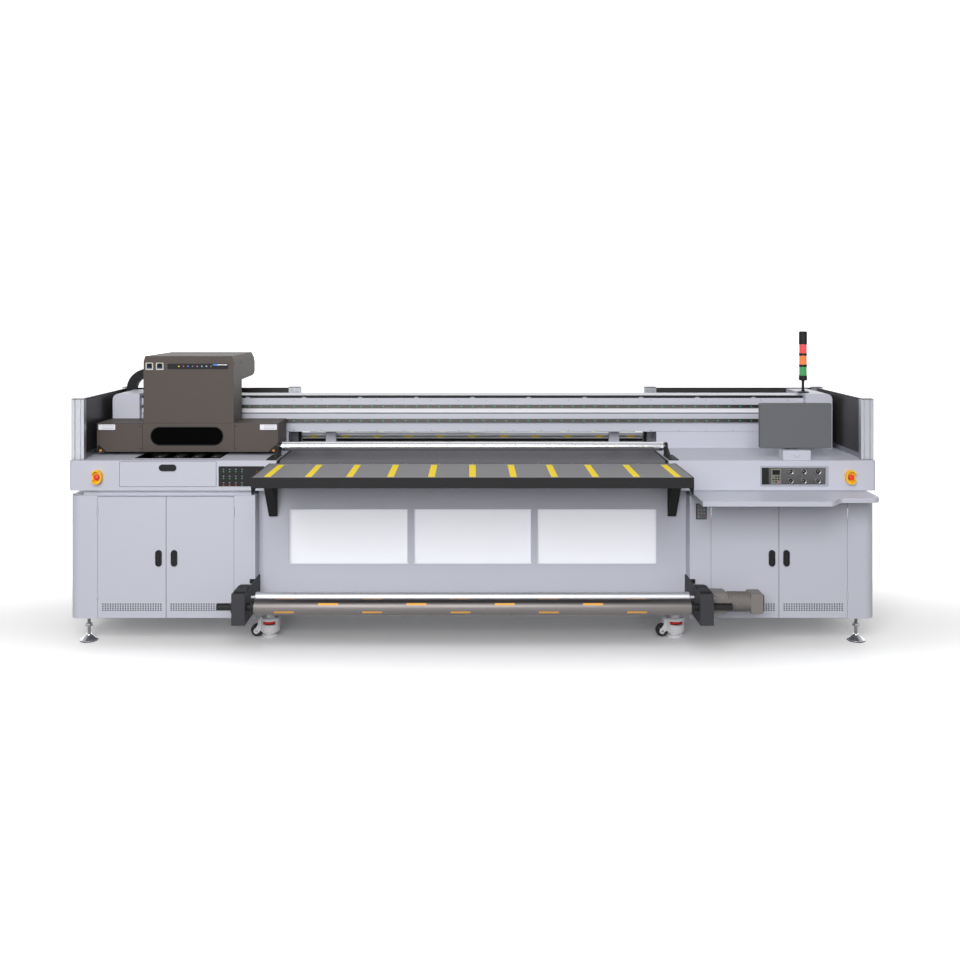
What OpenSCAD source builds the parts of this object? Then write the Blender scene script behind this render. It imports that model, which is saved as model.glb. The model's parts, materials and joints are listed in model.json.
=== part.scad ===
// Wide hybrid ultraviolet printer: a belt flatbed with roll winding, between two cabinets.
// Frame: X to the right, Y to the back, Z up. Origin on the floor under the middle of the machine.

/* [Cabinets] */
// Half of the overall width of the machine
half_w = 2500; // [2300:10:2700]
// Half of the cabinet depth
half_d = 490; // [450:10:540]
// Inner side of each cabinet, from the middle
cab_in = 1346; // [1346:1:1380]
// Underside of the cabinets above the floor
cab_z0 = 172; // [150:1:200]
// Top of the cabinets
cab_z1 = 933; // [900:1:945]
// Radius of the outer vertical cabinet corners
cab_r = 70; // [40:1:90]
// Thickness of the sheet metal walls
sheet = 4; // [3:0.5:6]

/* [Decks] */
// Underside of the upper decks
deck_z0 = 965; // [964:1:975]
// Top of the upper decks
deck_z1 = 1151; // [1151:1:1156]
// Radius of the deck corners
deck_r = 20; // [10:1:30]

/* [Doors] */
// Hinge line of the inner doors, from the middle
door_in = 1477; // [1470:1:1490]
// Meeting line of the two doors, from the middle
door_mid = 1898; // [1880:1:1915]
// Hinge line of the outer doors, from the middle
door_out = 2323; // [2300:1:2340]
// Width of the gap around a door
door_gap = 3; // [2:0.5:4]
// Thickness of a door pan
door_t = 20; // [15:1:25]

/* [Belt and tables] */
// Half of the belt width
belt_w = 1199; // [1150:1:1200]
// Top of the transport belt
belt_z = 1148; // [1140:1:1150]
// Radius of the belt over its drums
belt_r = 50; // [45:1:55]
// Half of the table width
table_w = 1241; // [1200:1:1250]
// Front edge of the front table, from the middle
table_y1 = 1097; // [1000:1:1150]
// Belt side edge of the tables
table_y0 = 585; // [560:1:600]
// Depth of the table edge
table_t = 60; // [40:1:70]

/* [Beam and carriage] */
// Half of the length of the beam
beam_w = 2232; // [2200:1:2240]
// Front face of the beam
beam_y0 = 70; // [66:1:80]
// Back face of the beam
beam_y1 = 270; // [250:1:280]
// Underside of the beam
beam_z0 = 1261; // [1255:1:1265]
// Top of the beam
beam_z1 = 1506; // [1490:1:1515]
// Left side of the wide carriage cover when parked
carr_x0 = -2410; // [-2410:1:-2400]
// Right side of the wide carriage cover when parked
carr_x1 = -1248; // [-1260:1:-1248]
// Left side of the head box
head_x0 = -2112; // [-2120:1:-2100]
// Right side of the head box
head_x1 = -1533; // [-1540:1:-1520]
// Top of the head box
head_z1 = 1787; // [1750:1:1800]

/* [Rolls] */
// Radius of the winding tube
wind_r = 47; // [40:1:50]
// Distance of the winding axis in front of the middle
wind_y = 760; // [740:1:780]
// Height of the winding axis
wind_z = 325; // [300:1:340]
// Radius of the chrome tension roller
tension_r = 28; // [20:1:28]

/* [Fit] */
// Radial running clearance of a pin or shaft in its bore
run = 0.05; // [0.02:0.01:0.1]
// Clearance between neighbouring bodies
clear = 0.5; // [0.3:0.1:1]

/* [Hidden] */
$fn = 48;
paint = "#cdcfdc";
paint_dark = "#b4b6c1";
charcoal = "#363537";
black = "#26262a";
brown = "#615955";
steel = "#c8cad0";
e = 1;
door_z0 = cab_z0 + door_gap + 1;
door_z1 = cab_z1 - sheet - door_gap;
hinge_r = 5;
hinge_pin_r = 2.5;
hinge_zs = [290, 800];
hinge_h = 60;
handle_z = 547;
belt_t = 2;
drum_r = belt_r - belt_t - 0.3;
drum_z = belt_z - belt_r;
drum_y = half_d - 60;
axle_r = 15;
side_x0 = belt_w + 2;
side_x1 = belt_w + 15;
deck_in = 1286;
wall_y = 381;
wall_t = 6;
ext_x = side_x1 + 2;
rail_zs = [[1326, 1348], [1423, 1443]];
rail_y = beam_y0 - 20;
cover_y0 = -263;
cover_y1 = 20;
cover_z0 = 1173;
cover_z1 = 1356;
skin = 5;
chain_y0 = 386;
chain_y1 = 446;
chain_r1 = 151;
chain_r0 = 88;
chain_x = -2291;
chain_z = 1516;
chain_mount_x = -1830;
chain_fix_x = 60;
monitor_x0 = 1795;
monitor_x1 = 2243;
monitor_mid = 2012;
tilt_y = -385;
tilt_z = 1245;
left_stop_x = -2322;
right_stop_x = 2338;
stop_z = 1051;
light_x = 2245;
light_y = 120;
pulley_span = 2225;
tray_y0 = 380;
tray_y1 = 449;
tray_z = 1360;
tension_y = -322;
tension_z = 1216;
feed_y = 380;
feed_z = 1201;
guide_y = 647;
guide_z = 351;
motor_y = -678;
castor_x = 1290;
castor_y = 298;
wheel_x = -82;
wheel_z = 43;
foot_x = 2420;
foot_y = 370;
frame_z0 = 152;
king_r = 10;
well_x0 = -2132;
well_x1 = -1579;
cap_pitch = 119;
well_y0 = -410;
well_y1 = -40;
drawer_x0 = -2186;
drawer_x1 = -1589;
drawer_z0 = 990;
drawer_z1 = 1145;

// A box from its low corner to its high corner.
module block(lo, hi) {
    translate(lo) cube(hi - lo);
}

// A round bar of radius r along X.
module bar_x(x0, x1, r, y, z) {
    translate([x0, y, z]) rotate([0, 90, 0]) cylinder(r = r, h = x1 - x0);
}

// A round bar of radius r along Y.
module bar_y(y0, y1, r, x, z) {
    translate([x, y0, z]) rotate([-90, 0, 0]) cylinder(r = r, h = y1 - y0);
}

// A round bar of radius r along Z.
module bar_z(z0, z1, r, x, y) {
    translate([x, y, z0]) cylinder(r = r, h = z1 - z0);
}

// An outline in Y and Z, pushed along X.
module side_profile(x0, x1) {
    translate([x0, 0, 0]) rotate([90, 0, 90]) linear_extrude(x1 - x0) children();
}

// An outline in X and Z, pushed along Y.
module front_profile(y0, y1) {
    translate([0, y1, 0]) rotate([90, 0, 0]) linear_extrude(y1 - y0) children();
}

// A rectangle whose two corners on its high X side are round.
module round_side_2d(x0, x1, y0, y1, r) {
    translate([x0, y0]) square([x1 - r - x0, y1 - y0]);
    translate([x1 - r, y0 + r]) square([r, y1 - y0 - 2 * r]);
    for (y = [y0 + r, y1 - r])
        translate([x1 - r, y]) circle(r = r);
}

// A slot with round ends, w wide and h high.
module slot_2d(w, h) {
    r = min(w, h) / 2;
    if (w > h) {
        square([w - h, h], center = true);
        for (s = [-1, 1]) translate([s * (w - h) / 2, 0]) circle(r = r);
    } else {
        square([w, h - w], center = true);
        for (s = [-1, 1]) translate([0, s * (h - w) / 2]) circle(r = r);
    }
}

module both_x() {
    children();
    mirror([1, 0, 0]) children();
}

module both_y() {
    children();
    mirror([0, 1, 0]) children();
}

// ---------------------------------------------------------------- structure

// Floor beams: a long pair between the cabinets, bored for the castors, and a short pair in each cabinet.
module base_frame() color(paint_dark) both_y() {
    difference() {
        block([-cab_in + 1, castor_y - 40, frame_z0], [cab_in - 1, castor_y + 40, frame_z0 + 90]);
        for (x = [-castor_x, castor_x])
            bar_z(frame_z0 - e, frame_z0 + 40, king_r + run, x, castor_y);
    }
    both_x() block([cab_in + 5, foot_y - 25, cab_z0 + 2 * sheet], [half_w - 60, foot_y + 25, cab_z0 + 58]);
}

// The two tabs that hold a hinge in the cabinet wall beside its line.
module hinge_leaf(side) for (z = [0, hinge_h - 15])
    translate([side * 0.9 - 0.6, 0, z]) cube([1.2, door_t, 15]);

// Notches for the door hinges, cut from a shell or a door.
module hinge_notches(x) {
    for (z = hinge_zs)
        bar_z(z - 1, z + hinge_h + 1, hinge_r + clear, x, -half_d);
}

module cabinet_shell() color(paint) difference() {
    union() {
        translate([0, 0, cab_z0]) linear_extrude(cab_z1 - cab_z0) difference() {
            round_side_2d(cab_in, half_w, -half_d, half_d, cab_r);
            round_side_2d(cab_in + sheet, half_w - sheet, -half_d + sheet, half_d - sheet, cab_r - sheet);
        }
        for (z = [cab_z0 + sheet, cab_z1 - sheet])
            translate([0, 0, z]) linear_extrude(sheet)
                round_side_2d(cab_in + 1, half_w - 1, -half_d + door_t + 6, half_d - 1, cab_r - 1);
        for (x = [door_in - sheet, door_out])
            block([x, -half_d, cab_z0], [x + sheet, -half_d + door_t + 6, cab_z1]);
        block([door_in - sheet, -half_d, cab_z1 - sheet], [door_out + sheet, -half_d + door_t + 8, cab_z1]);
        bar_y(half_d - sheet, half_d + 8, 24, 2080, 260);
    }
    block([door_in, -half_d - e, cab_z0 - e], [door_out, -half_d + door_t + 5, cab_z1 - sheet]);
    bar_y(half_d - sheet - e, half_d + 9, 14, 2080, 260);
    hinge_notches(door_in);
    hinge_notches(door_out);
    for (z = hinge_zs) {
        translate([door_in, -half_d, z]) hinge_leaf(-1);
        translate([door_out, -half_d, z]) hinge_leaf(1);
    }
}

module left_cabinet_shell() mirror([1, 0, 0]) cabinet_shell();

module right_cabinet_shell() cabinet_shell();

// Upper deck on a recessed neck, with a tongue beside the belt.
module deck_shell() {
    translate([0, 0, cab_z1]) linear_extrude(deck_z0 - cab_z1 + 1) difference() {
        square_neck_2d(0);
        square_neck_2d(sheet);
    }
    translate([0, 0, deck_z0]) linear_extrude(deck_z1 - deck_z0) difference() {
        round_side_2d(deck_in, half_w, -half_d, half_d, deck_r);
        round_side_2d(deck_in + sheet, half_w - sheet, -half_d + sheet, half_d - sheet, deck_r - sheet);
    }
    for (z = [deck_z0, deck_z1 - sheet])
        translate([0, 0, z]) linear_extrude(sheet)
            round_side_2d(deck_in + 1, half_w - 1, -half_d + 1, half_d - 1, deck_r - 1);
    block([ext_x, -half_d, deck_z1 - 50], [deck_in + sheet, half_d, deck_z1]);
}

module square_neck_2d(inset) {
    translate([cab_in + 20 + inset, -half_d + 30 + inset])
        square([half_w - cab_in - 100 - 2 * inset, 2 * half_d - 60 - 2 * inset]);
}

module left_deck_shell() color(paint) difference() {
    mirror([1, 0, 0]) deck_shell();
    block([well_x0, well_y0, deck_z1 - 20], [well_x1, well_y1, deck_z1 + e]);
    block([drawer_x0 - 2, -half_d - e, drawer_z0 - 2], [drawer_x1 + 2, -half_d + 6, drawer_z1]);
}

module right_deck_shell() color(paint) difference() {
    deck_shell();
    block([1791, -half_d - e, 1003], [2187, -half_d + 8, 1107]);
}

// Front and back walls between the cabinets, with a bright window and two slim posts in the front one.
module centre_panels() color(paint) {
    window_x = 1160;
    window_z0 = 483;
    window_z1 = 830;
    difference() {
        block([-cab_in + 1, -wall_y, cab_z0], [cab_in - 1, -wall_y + wall_t, deck_z0 - 1]);
        block([-window_x, -wall_y - e, window_z0], [window_x, -wall_y + wall_t + e, window_z1]);
    }
    block([-cab_in + 1, wall_y - wall_t, cab_z0], [cab_in - 1, wall_y, deck_z0 - 1]);
    both_y() block([-deck_in + 1, -wall_y, deck_z0 - 1], [deck_in - 1, -wall_y + wall_t, 1040]);
    block([-window_x - 15, -wall_y + 40, window_z0 - 12], [window_x + 15, -wall_y + 43, window_z1 + 12]);
    for (x = [-390, 390])
        block([x - 25, -wall_y + wall_t, window_z0 - 10], [x + 25, -wall_y + 40, window_z1 + 10]);
}

// Fixed leaf, end knuckles and pin of one hinge at its line.
module fixed_hinge(side) {
    bar_z(0, hinge_h, hinge_pin_r, 0, 0);
    bar_z(0, 15, hinge_r, 0, 0);
    bar_z(hinge_h - 15, hinge_h, hinge_r, 0, 0);
    hinge_leaf(side);
}

module door_hinges() color(steel) both_x() for (z = hinge_zs) {
    translate([door_in, -half_d, z]) fixed_hinge(-1);
    translate([door_out, -half_d, z]) fixed_hinge(1);
}

// A door pan between x0 and x1, hinged at the low or the high side, with its knuckles and handle.
module door(x0, x1, hinge_x, handle_x) {
    side = hinge_x == x0 ? 1 : -1;
    color(paint) difference() {
        block([x0 + 1.5, -half_d, door_z0], [x1 - 1.5, -half_d + door_t, door_z1]);
        block([x0 + 4.5, -half_d + 3, door_z0 + 3], [x1 - 4.5, -half_d + door_t + e, door_z1 - 3]);
        hinge_notches(hinge_x);
    }
    color(paint) for (z = hinge_zs) difference() {
        union() {
            bar_z(z + 15.5, z + hinge_h - 15.5, hinge_r, hinge_x, -half_d);
            translate([hinge_x + side * 2.6 - 1.8, -half_d, z + 15.5])
                cube([3.6, door_t - 2, hinge_h - 31]);
        }
        bar_z(z, z + hinge_h, hinge_pin_r + run, hinge_x, -half_d);
    }
    color(black) front_profile(-half_d - 9, -half_d)
        translate([handle_x, handle_z]) difference() {
            slot_2d(39, 101);
            slot_2d(21, 83);
        }
    color(black) front_profile(-half_d - 3, -half_d)
        translate([handle_x, handle_z]) slot_2d(21, 83);
}

module left_outer_door() mirror([1, 0, 0]) door(door_mid, door_out, door_out, door_mid + 46);

module left_inner_door() mirror([1, 0, 0]) door(door_in, door_mid, door_in, door_mid - 50);

module right_inner_door() door(door_in, door_mid, door_in, door_mid - 44);

module right_outer_door() door(door_mid, door_out, door_out, door_mid + 46);

// Drawer box under the capping well, with its front and a cup handle.
module service_drawer() {
    depth = 420;
    color(paint) {
        block([drawer_x0, -half_d - 1, drawer_z0], [drawer_x1, -half_d + 3, drawer_z1 - 2]);
        difference() {
            block([drawer_x0 + 20, -half_d + 3, drawer_z0 + 8], [drawer_x1 - 20, -half_d + depth, 1090]);
            block([drawer_x0 + 24, -half_d + 7, drawer_z0 + 12], [drawer_x1 - 24, -half_d + depth - 4, 1091]);
        }
    }
    color(black) front_profile(-half_d - 7, -half_d - 1)
        translate([(drawer_x0 + drawer_x1) / 2, 1107]) slot_2d(107, 40);
}

// Indicator panel with its lamps, and the jog keypad on the inner right side.
module control_panels() color(charcoal) {
    block([-1572, -half_d - 4, 992], [-deck_in - 4, -half_d, 1116]);
    for (i = [0:3]) for (k = [0:2])
        bar_y(-half_d - 6, -half_d - 4, 6, -1553 + 38.6 * i, 1018 + 42 * k);
    block([1384, -half_d - 4, 787], [1450, -half_d, 885]);
    for (i = [0:2]) for (k = [0:3])
        bar_y(-half_d - 6, -half_d - 4, 5, 1400 + 17 * i, 803 + 21 * k);
}

// Recessed window with its bevelled frame, keypad and round gauges.
module regulator_panel() {
    color(paint_dark) difference() {
        block([1783, -half_d - 3, 992], [2204, -half_d, 1117]);
        block([1791, -half_d - 4, 1003], [2187, -half_d + e, 1107]);
    }
    color(charcoal) block([1791, -half_d, 1003], [2187, -half_d + 8, 1107]);
    color("#cfc9ac") block([1848, -half_d - 3, 1006], [1911, -half_d, 1102]);
    color(steel) for (x = [1971, 2052, 2139]) for (z = [1026, 1083])
        bar_y(-half_d - 5, -half_d, 19, x, z);
}

// Points of a smooth step between two corners, for the front edge of the shelf.
function s_curve(p, q, n) = [for (i = [0:n]) let (t = i / n)
    [p[0] + (q[0] - p[0]) * t, p[1] + (q[1] - p[1]) * (1 - cos(180 * t)) / 2]];

module operator_shelf() color(paint) translate([0, 0, cab_z1]) linear_extrude(29) {
    back = -half_d + 30;
    polygon(concat([[cab_in + 4, back], [cab_in + 4, -830]],
        s_curve([2100, -830], [2215, -720], 14),
        [for (a = [-90:10:0]) [2385 + 60 * cos(a), -660 + 60 * sin(a)]],
        [[2445, back]]));
}

module monitor_stand() color(paint) {
    block([monitor_mid - 86, -484, deck_z1], [monitor_mid + 86, -396, 1212]);
    block([monitor_mid - 60, -397, deck_z1], [monitor_mid + 60, -355, 1215]);
    for (s = [-1, 1]) translate([monitor_mid + s * 32 - 10, 0, 0]) {
        block([0, tilt_y - 12, 1214], [20, tilt_y + 14, tilt_z]);
        bar_x(0, 20, 14, tilt_y, tilt_z);
    }
    bar_x(monitor_mid - 30, monitor_mid + 30, 6, tilt_y, tilt_z);
}

// Flat computer housing with the lug that tilts on the stand.
module monitor_housing() color(charcoal) difference() {
    union() {
        block([monitor_x0, -440, 1220], [monitor_x1, -402, 1502]);
        block([monitor_mid - 21, -403, tilt_z - 10], [monitor_mid + 21, tilt_y, tilt_z + 10]);
        bar_x(monitor_mid - 21, monitor_mid + 21, 11, tilt_y, tilt_z);
    }
    bar_x(monitor_mid - 22, monitor_mid + 22, 6 + run, tilt_y, tilt_z);
}

module stack_light_body() color(black) {
    bar_z(1520, 1528, 39.5, light_x, light_y);
    bar_z(1528, 1604, 8.5, light_x, light_y);
    for (span = [[1604, 1636], [1696, 1711], [1772, 1787], [1848, 1937]])
        bar_z(span[0], span[1], 27, light_x, light_y);
}

module stack_light_lenses() for (lens = [[1636, "#4ca05d"], [1711, "#f18a4c"], [1787, "#f45859"]])
    color(lens[1]) bar_z(lens[0], lens[0] + 60, 26, light_x, light_y);

// Yellow collar with a thumb cut on its outer side.
module estop_collar() translate([0, -half_d, stop_z]) difference() {
    union() {
        front_profile(-8, 0) slot_2d(66, 87);
        front_profile(-32, -8) difference() {
            slot_2d(66, 87);
            slot_2d(54, 75);
        }
    }
    block([14, -33, -16], [34, -8, 16]);
    bar_y(-9, e, 8 + run, 0, 0);
}

module estop_guards() color("#f0b400") {
    translate([left_stop_x, 0, 0]) mirror([1, 0, 0]) estop_collar();
    translate([right_stop_x, 0, 0]) estop_collar();
}

module estop_button(x) color("#e03a2c") {
    bar_y(-half_d - 34, -half_d - 16, 18, x, stop_z);
    bar_y(-half_d - 16, -half_d - 6, 8, x, stop_z);
}

module left_estop_button() estop_button(left_stop_x);

module right_estop_button() estop_button(right_stop_x);

// ---------------------------------------------------------------- guards

// An upright extrusion with two grooves in its front face.
module post(x0, x1, y0, y1) {
    difference() {
        block([x0, y0, deck_z1], [x1, y1, 1531]);
        for (f = [0.36, 0.68]) translate([x0 + f * (x1 - x0), y0 - e, deck_z1 - e]) cube([6, 5, 400]);
    }
}

module guard_posts() color(steel) both_x() {
    post(2415, 2493, -470, -430);
    post(2415, 2493, 450, 489);
    post(1224, 1309, 450, 489);
    block([2440, -430 + clear, deck_z1], [2470, 450 - clear, deck_z1 + 30]);
    block([1309 + clear, 456, deck_z1], [2415 - clear, 486, deck_z1 + 30]);
}

module guard_panels() color(charcoal) both_x() {
    block([2451, -430, deck_z1 + 30], [2459, 450, 1525]);
    block([1309, 466, deck_z1 + 30], [2415, 474, 1525]);
}

// ---------------------------------------------------------------- beam and carriage

module gantry_beam() color(paint) {
    difference() {
        block([-beam_w, beam_y0, beam_z0], [beam_w, beam_y1, beam_z1]);
        block([-beam_w - e, beam_y0 + 8, beam_z0 + 8], [beam_w + e, beam_y1 - 8, beam_z1 - 8]);
        block([-beam_w - e, beam_y0 - e, beam_z1 - 19], [beam_w + e, beam_y0 + 5, beam_z1 - 1]);
    }
    both_x() {
        block([beam_w + clear, beam_y0 + 10, deck_z1], [beam_w + 150, beam_y1 - 10, beam_z1 - 20]);
        block([1240, beam_y0, deck_z1], [beam_w - 1, beam_y0 + 6, beam_z0 - 1]);
    }
}

// Outline of an end cover in X and Z, round at its outer top corner.
module end_cover_2d(inset) {
    x0 = beam_w + inset;
    x1 = 2412 - inset;
    z1 = 1520 - inset;
    r = 40 - inset;
    translate([x0, deck_z1]) square([x1 - x0, z1 - r - deck_z1]);
    translate([x0, z1 - r - e]) square([x1 - r - x0, r + e]);
    translate([x1 - r, z1 - r]) circle(r = r);
}

module end_cover(back) difference() {
    front_profile(27, back) end_cover_2d(0);
    front_profile(27 + sheet, back - sheet) translate([0, -e]) end_cover_2d(sheet);
    block([beam_w - e, beam_y0 + 9, deck_z1 - e], [beam_w + sheet + e, beam_y1 - 9, beam_z1 - 19]);
}

module beam_end_covers() color(paint) {
    end_cover(450);
    mirror([1, 0, 0]) end_cover(376);
}

module linear_rails() color(charcoal) for (z = rail_zs)
    block([-pulley_span, rail_y, z[0]], [pulley_span, beam_y0, z[1]]);

module drive_belt() color("white") block([-pulley_span, beam_y0 - 8, 1390], [pulley_span, beam_y0 - 5, 1421]);

// A bearing block that wraps a rail.
module bearing_block(x, z) difference() {
    block([x, beam_y0 - 38, z[0] - 9], [x + 100, beam_y0 - 8.5, z[1] + 9]);
    block([x - e, rail_y - 0.3, z[0] - 0.3], [x + 100 + e, beam_y0, z[1] + 0.3]);
}

module carriage_saddle() color(steel) {
    block([-2080, cover_y1 + clear, 1300], [-1565, beam_y0 - 38, 1480]);
    block([-2000, -31, 1380], [-1650, cover_y1 + clear, 1470]);
    for (x = [-2065, -1680]) for (z = rail_zs)
        bearing_block(x, z);
    block([chain_mount_x, 373, 1585], [chain_mount_x + 100, 378, 1680]);
    block([chain_mount_x, 378, 1585], [chain_mount_x + 100, chain_y1, chain_z + chain_r0 - clear]);
}

// Side outline of the head box: tall in front, with an overhang over the beam.
module head_side_2d(inset) {
    polygon([[cover_y0 + inset, cover_z1 - inset], [-31 - inset, cover_z1 - inset],
        [-31 - inset, 1620 + inset], [330, 1628 + inset], [373 - inset, 1650 + inset],
        [373 - inset, 1717], [317, head_z1 - inset],
        [cover_y0 + inset, head_z1 - inset]]);
}

// Front outline of the head box, with small chamfers at its top corners.
module head_front_2d(inset) {
    x0 = head_x0 + inset;
    x1 = head_x1 - inset;
    z1 = head_z1 - inset;
    polygon([[x0, cover_z1 - 10], [x1, cover_z1 - 10], [x1, z1 - 33], [x1 - 11, z1], [x0 + 11, z1],
        [x0, z1 - 33]]);
}

module head_box(inset) intersection() {
    side_profile(head_x0 - e, head_x1 + e) head_side_2d(inset);
    front_profile(cover_y0 - e, 374) head_front_2d(inset);
}

// Side outline of the wide cover, with a sloped corner low at the back.
module wide_side_2d(inset) {
    polygon([[cover_y0 + inset, cover_z0 - inset], [cover_y1 - 60, cover_z0 - inset],
        [cover_y1 - inset, cover_z0 + 45], [cover_y1 - inset, cover_z1 - inset],
        [cover_y0 + inset, cover_z1 - inset]]);
}

// The carriage casing: a wide low cover with the tall head box on it, open underneath.
module head_cover() {
    color(brown) difference() {
        union() {
            side_profile(carr_x0, carr_x1) wide_side_2d(0);
            head_box(0);
        }
        side_profile(carr_x0 + skin, carr_x1 - skin) wide_side_2d(skin);
        head_box(skin);
        front_profile(cover_y0 - e, cover_y0 + skin + e)
            translate([(-2066 - 1600) / 2, (1214 + 1332) / 2]) slot_2d(466, 118);
    }
    color("#c8c4bd") for (x = [-2095, -2029])
        block([x, cover_y0 - 3, 1698], [x + 46, cover_y0, 1745]);
    color(black) block([-1956, cover_y0 - 4, 1705], [-1569, cover_y0, 1738]);
    color("#f2a02c") for (x = [-2384, -1275])
        bar_y(cover_y0 - 14, cover_y0, 8, x, 1182);
}

// Lifting head plate with its rows of heads and the two curing lamps.
module print_heads() color(black) {
    difference() {
        block([-2380, -245, 1218], [-1278, -65, 1228]);
        for (i = [0:7]) block([-2040 + 52 * i, -210, 1217], [-2002 + 52 * i, -100, 1229]);
    }
    for (i = [0:7]) block([-2040 + 52 * i, -210, 1166], [-2002 + 52 * i, -100, 1270]);
    for (x = [-2375, -1463])
        block([x, -235, 1168], [x + 180, -75, 1218]);
}

// ---------------------------------------------------------------- cable chain

module chain_bend() color(black) difference() {
    bar_y(chain_y0, chain_y1, chain_r1, chain_x, chain_z);
    bar_y(chain_y0 - e, chain_y1 + e, chain_r0, chain_x, chain_z);
    block([chain_x, chain_y0 - e, chain_z - 200], [chain_x + 200, chain_y1 + e, chain_z + 200]);
}

module chain_upper_run() color(black)
    block([chain_x, chain_y0, chain_z + chain_r0], [chain_mount_x + 100, chain_y1, chain_z + chain_r1]);

module chain_lower_run() color(black)
    block([chain_x, chain_y0, chain_z - chain_r1], [chain_fix_x, chain_y1, chain_z - chain_r0]);

// Trough behind the beam that carries the lower run.
module chain_tray() color(steel) {
    difference() {
        block([-2440, tray_y0, tray_z], [chain_fix_x + 60, tray_y1, tray_z + 40]);
        block([-2441, tray_y0 + 3, tray_z + 4], [chain_fix_x + 61, tray_y1 - 3, tray_z + 41]);
    }
    for (x = [-1900:600:-100])
        block([x, beam_y1, tray_z - 24], [x + 40, tray_y1, tray_z]);
}

// ---------------------------------------------------------------- bed

// Well under the parked heads, with four sealing caps.
module capping_station() color(black) {
    difference() {
        block([well_x0 + 1, well_y0 + 1, 1098], [well_x1 - 1, well_y1 - 1, deck_z1 - 2]);
        block([well_x0 + 5, well_y0 + 5, 1102], [well_x1 - 5, well_y1 - 5, deck_z1]);
    }
    for (i = [0:3])
        block([-2024 + cap_pitch * i, -330, 1102], [-1960 + cap_pitch * i, -90, 1145]);
}

// Suction box inside the belt, with the side plates that carry the drums.
module belt_platform() color(steel) difference() {
    union() {
        block([-belt_w + 3, -drum_y + 60, drum_z - 46], [belt_w - 3, drum_y - 60, drum_z + 47.5]);
        both_x() {
            block([side_x0, -drum_y - 40, 1040], [side_x1, drum_y + 40, belt_z - 1]);
            block([belt_w - 4, -300, drum_z - 40], [side_x0 + 1, 300, drum_z + 40]);
        }
    }
    block([-belt_w + 12, -drum_y + 69, drum_z - 47], [belt_w - 12, drum_y - 69, drum_z + 38]);
    for (y = [-drum_y, drum_y])
        bar_x(-side_x1 - e, side_x1 + e, axle_r + run, y, drum_z);
}

// Closed loop outline of the belt at radius r.
module belt_loop_2d(r) {
    translate([-drum_y, drum_z - r]) square([2 * drum_y, 2 * r]);
    for (y = [-drum_y, drum_y]) translate([y, drum_z]) circle(r = r);
}

module transport_belt() color("#5e5f62") side_profile(-belt_w, belt_w) difference() {
    belt_loop_2d(belt_r);
    belt_loop_2d(belt_r - belt_t);
}

module drum(y) color(steel) {
    bar_x(-belt_w + 2, belt_w - 2, drum_r, y, drum_z);
    bar_x(-side_x1 - 1, side_x1 + 1, axle_r, y, drum_z);
}

module front_drum() drum(-drum_y);

module rear_drum() drum(drum_y);

// Grey table plates in dark edges, with a gusset under each outer corner.
module media_tables() both_y() {
    color(charcoal) difference() {
        block([-table_w, -table_y1, belt_z - table_t], [table_w, -table_y0, belt_z]);
        block([-table_w + 8, -table_y1 + 8, belt_z - 3], [table_w - 8, -table_y0 - 4, belt_z + e]);
        block([-table_w + 6, -table_y1 + 6, belt_z - table_t - e], [table_w - 6, -table_y0 - 6, belt_z - 6]);
    }
    color("#808186")
        block([-table_w + 8, -table_y1 + 8, belt_z - 3], [table_w - 8, -table_y0 - 4, belt_z - 1]);
    color(charcoal) both_x() side_profile(table_w - 6, table_w)
        translate([-table_y1, belt_z - table_t]) polygon([[0, 0], [12, -40], [27, -42], [202, 0]]);
}

// Arm, wall plate and strut that hold a table.
module table_brackets() color(charcoal) both_x() both_y() side_profile(1228, 1280) {
    z1 = belt_z - table_t;
    polygon([[-wall_y, 786], [-wall_y, z1], [-616, z1], [-616, z1 - 16], [-wall_y - 16, 786]]);
}

// End brackets of the two bed rollers, and the two small blocks that hang from the beam.
module roller_brackets() color(black) {
    both_x() difference() {
        union() {
            side_profile(1222, 1238)
                polygon([[tension_y - 26, tension_z], [-half_d + 6, deck_z1 + 6], [-half_d + 6, deck_z1],
                    [tension_y + 40, deck_z1], [tension_y + 26, tension_z]]);
            bar_x(1222, 1238, 27, tension_y, tension_z);
            block([1220, -half_d + 6, deck_z1], [1280, tension_y + 40, deck_z1 + 6]);
        }
        bar_x(1221, 1239, 8 + run, tension_y, tension_z);
    }
    both_x() difference() {
        union() {
            block([1203, feed_y - 30, deck_z1], [1222, feed_y + 30, feed_z + 24]);
            block([1221, feed_y - 24, feed_z - 14], [1253, feed_y + 24, feed_z + 24]);
        }
        bar_x(1202, 1254, 10 + run, feed_y, feed_z);
    }
    both_x() block([940, beam_y1 - 60, belt_z + 12], [1010, beam_y1 - 30, beam_z0]);
}

module tension_roller() color(steel) {
    bar_x(-1213, 1213, tension_r, tension_y, tension_z);
    bar_x(-1239, 1239, 8, tension_y, tension_z);
}

module rear_feed_roller() color(steel) {
    bar_x(-1198, 1198, 18.5, feed_y, feed_z);
    bar_x(-1254, 1254, 10, feed_y, feed_z);
}

// ---------------------------------------------------------------- winding

// A box on a long side plate with a fixing tab, and the bores of shaft and guide roller.
module wind_bracket(guide) difference() {
    union() {
        block([cab_in - 9, -824, 232], [cab_in + 70, -629, 418]);
        block([cab_in - 9, -630, 232], [cab_in - clear, -wall_y, 418]);
        block([cab_in - 2, -half_d - 10, 392], [cab_in + 32, -half_d, 418]);
    }
    block([cab_in + 2, -814, 231], [cab_in + 62, -637, 410]);
    bar_x(cab_in - 10, cab_in + 71, 21 + run, -wind_y, wind_z);
    if (guide)
        bar_x(cab_in - 10, cab_in + 71, 9 + run, -guide_y, guide_z);
}

module takeup_brackets() color(charcoal) {
    both_x() wind_bracket(true);
    mirror([0, 1, 0]) both_x() wind_bracket(false);
}

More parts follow.
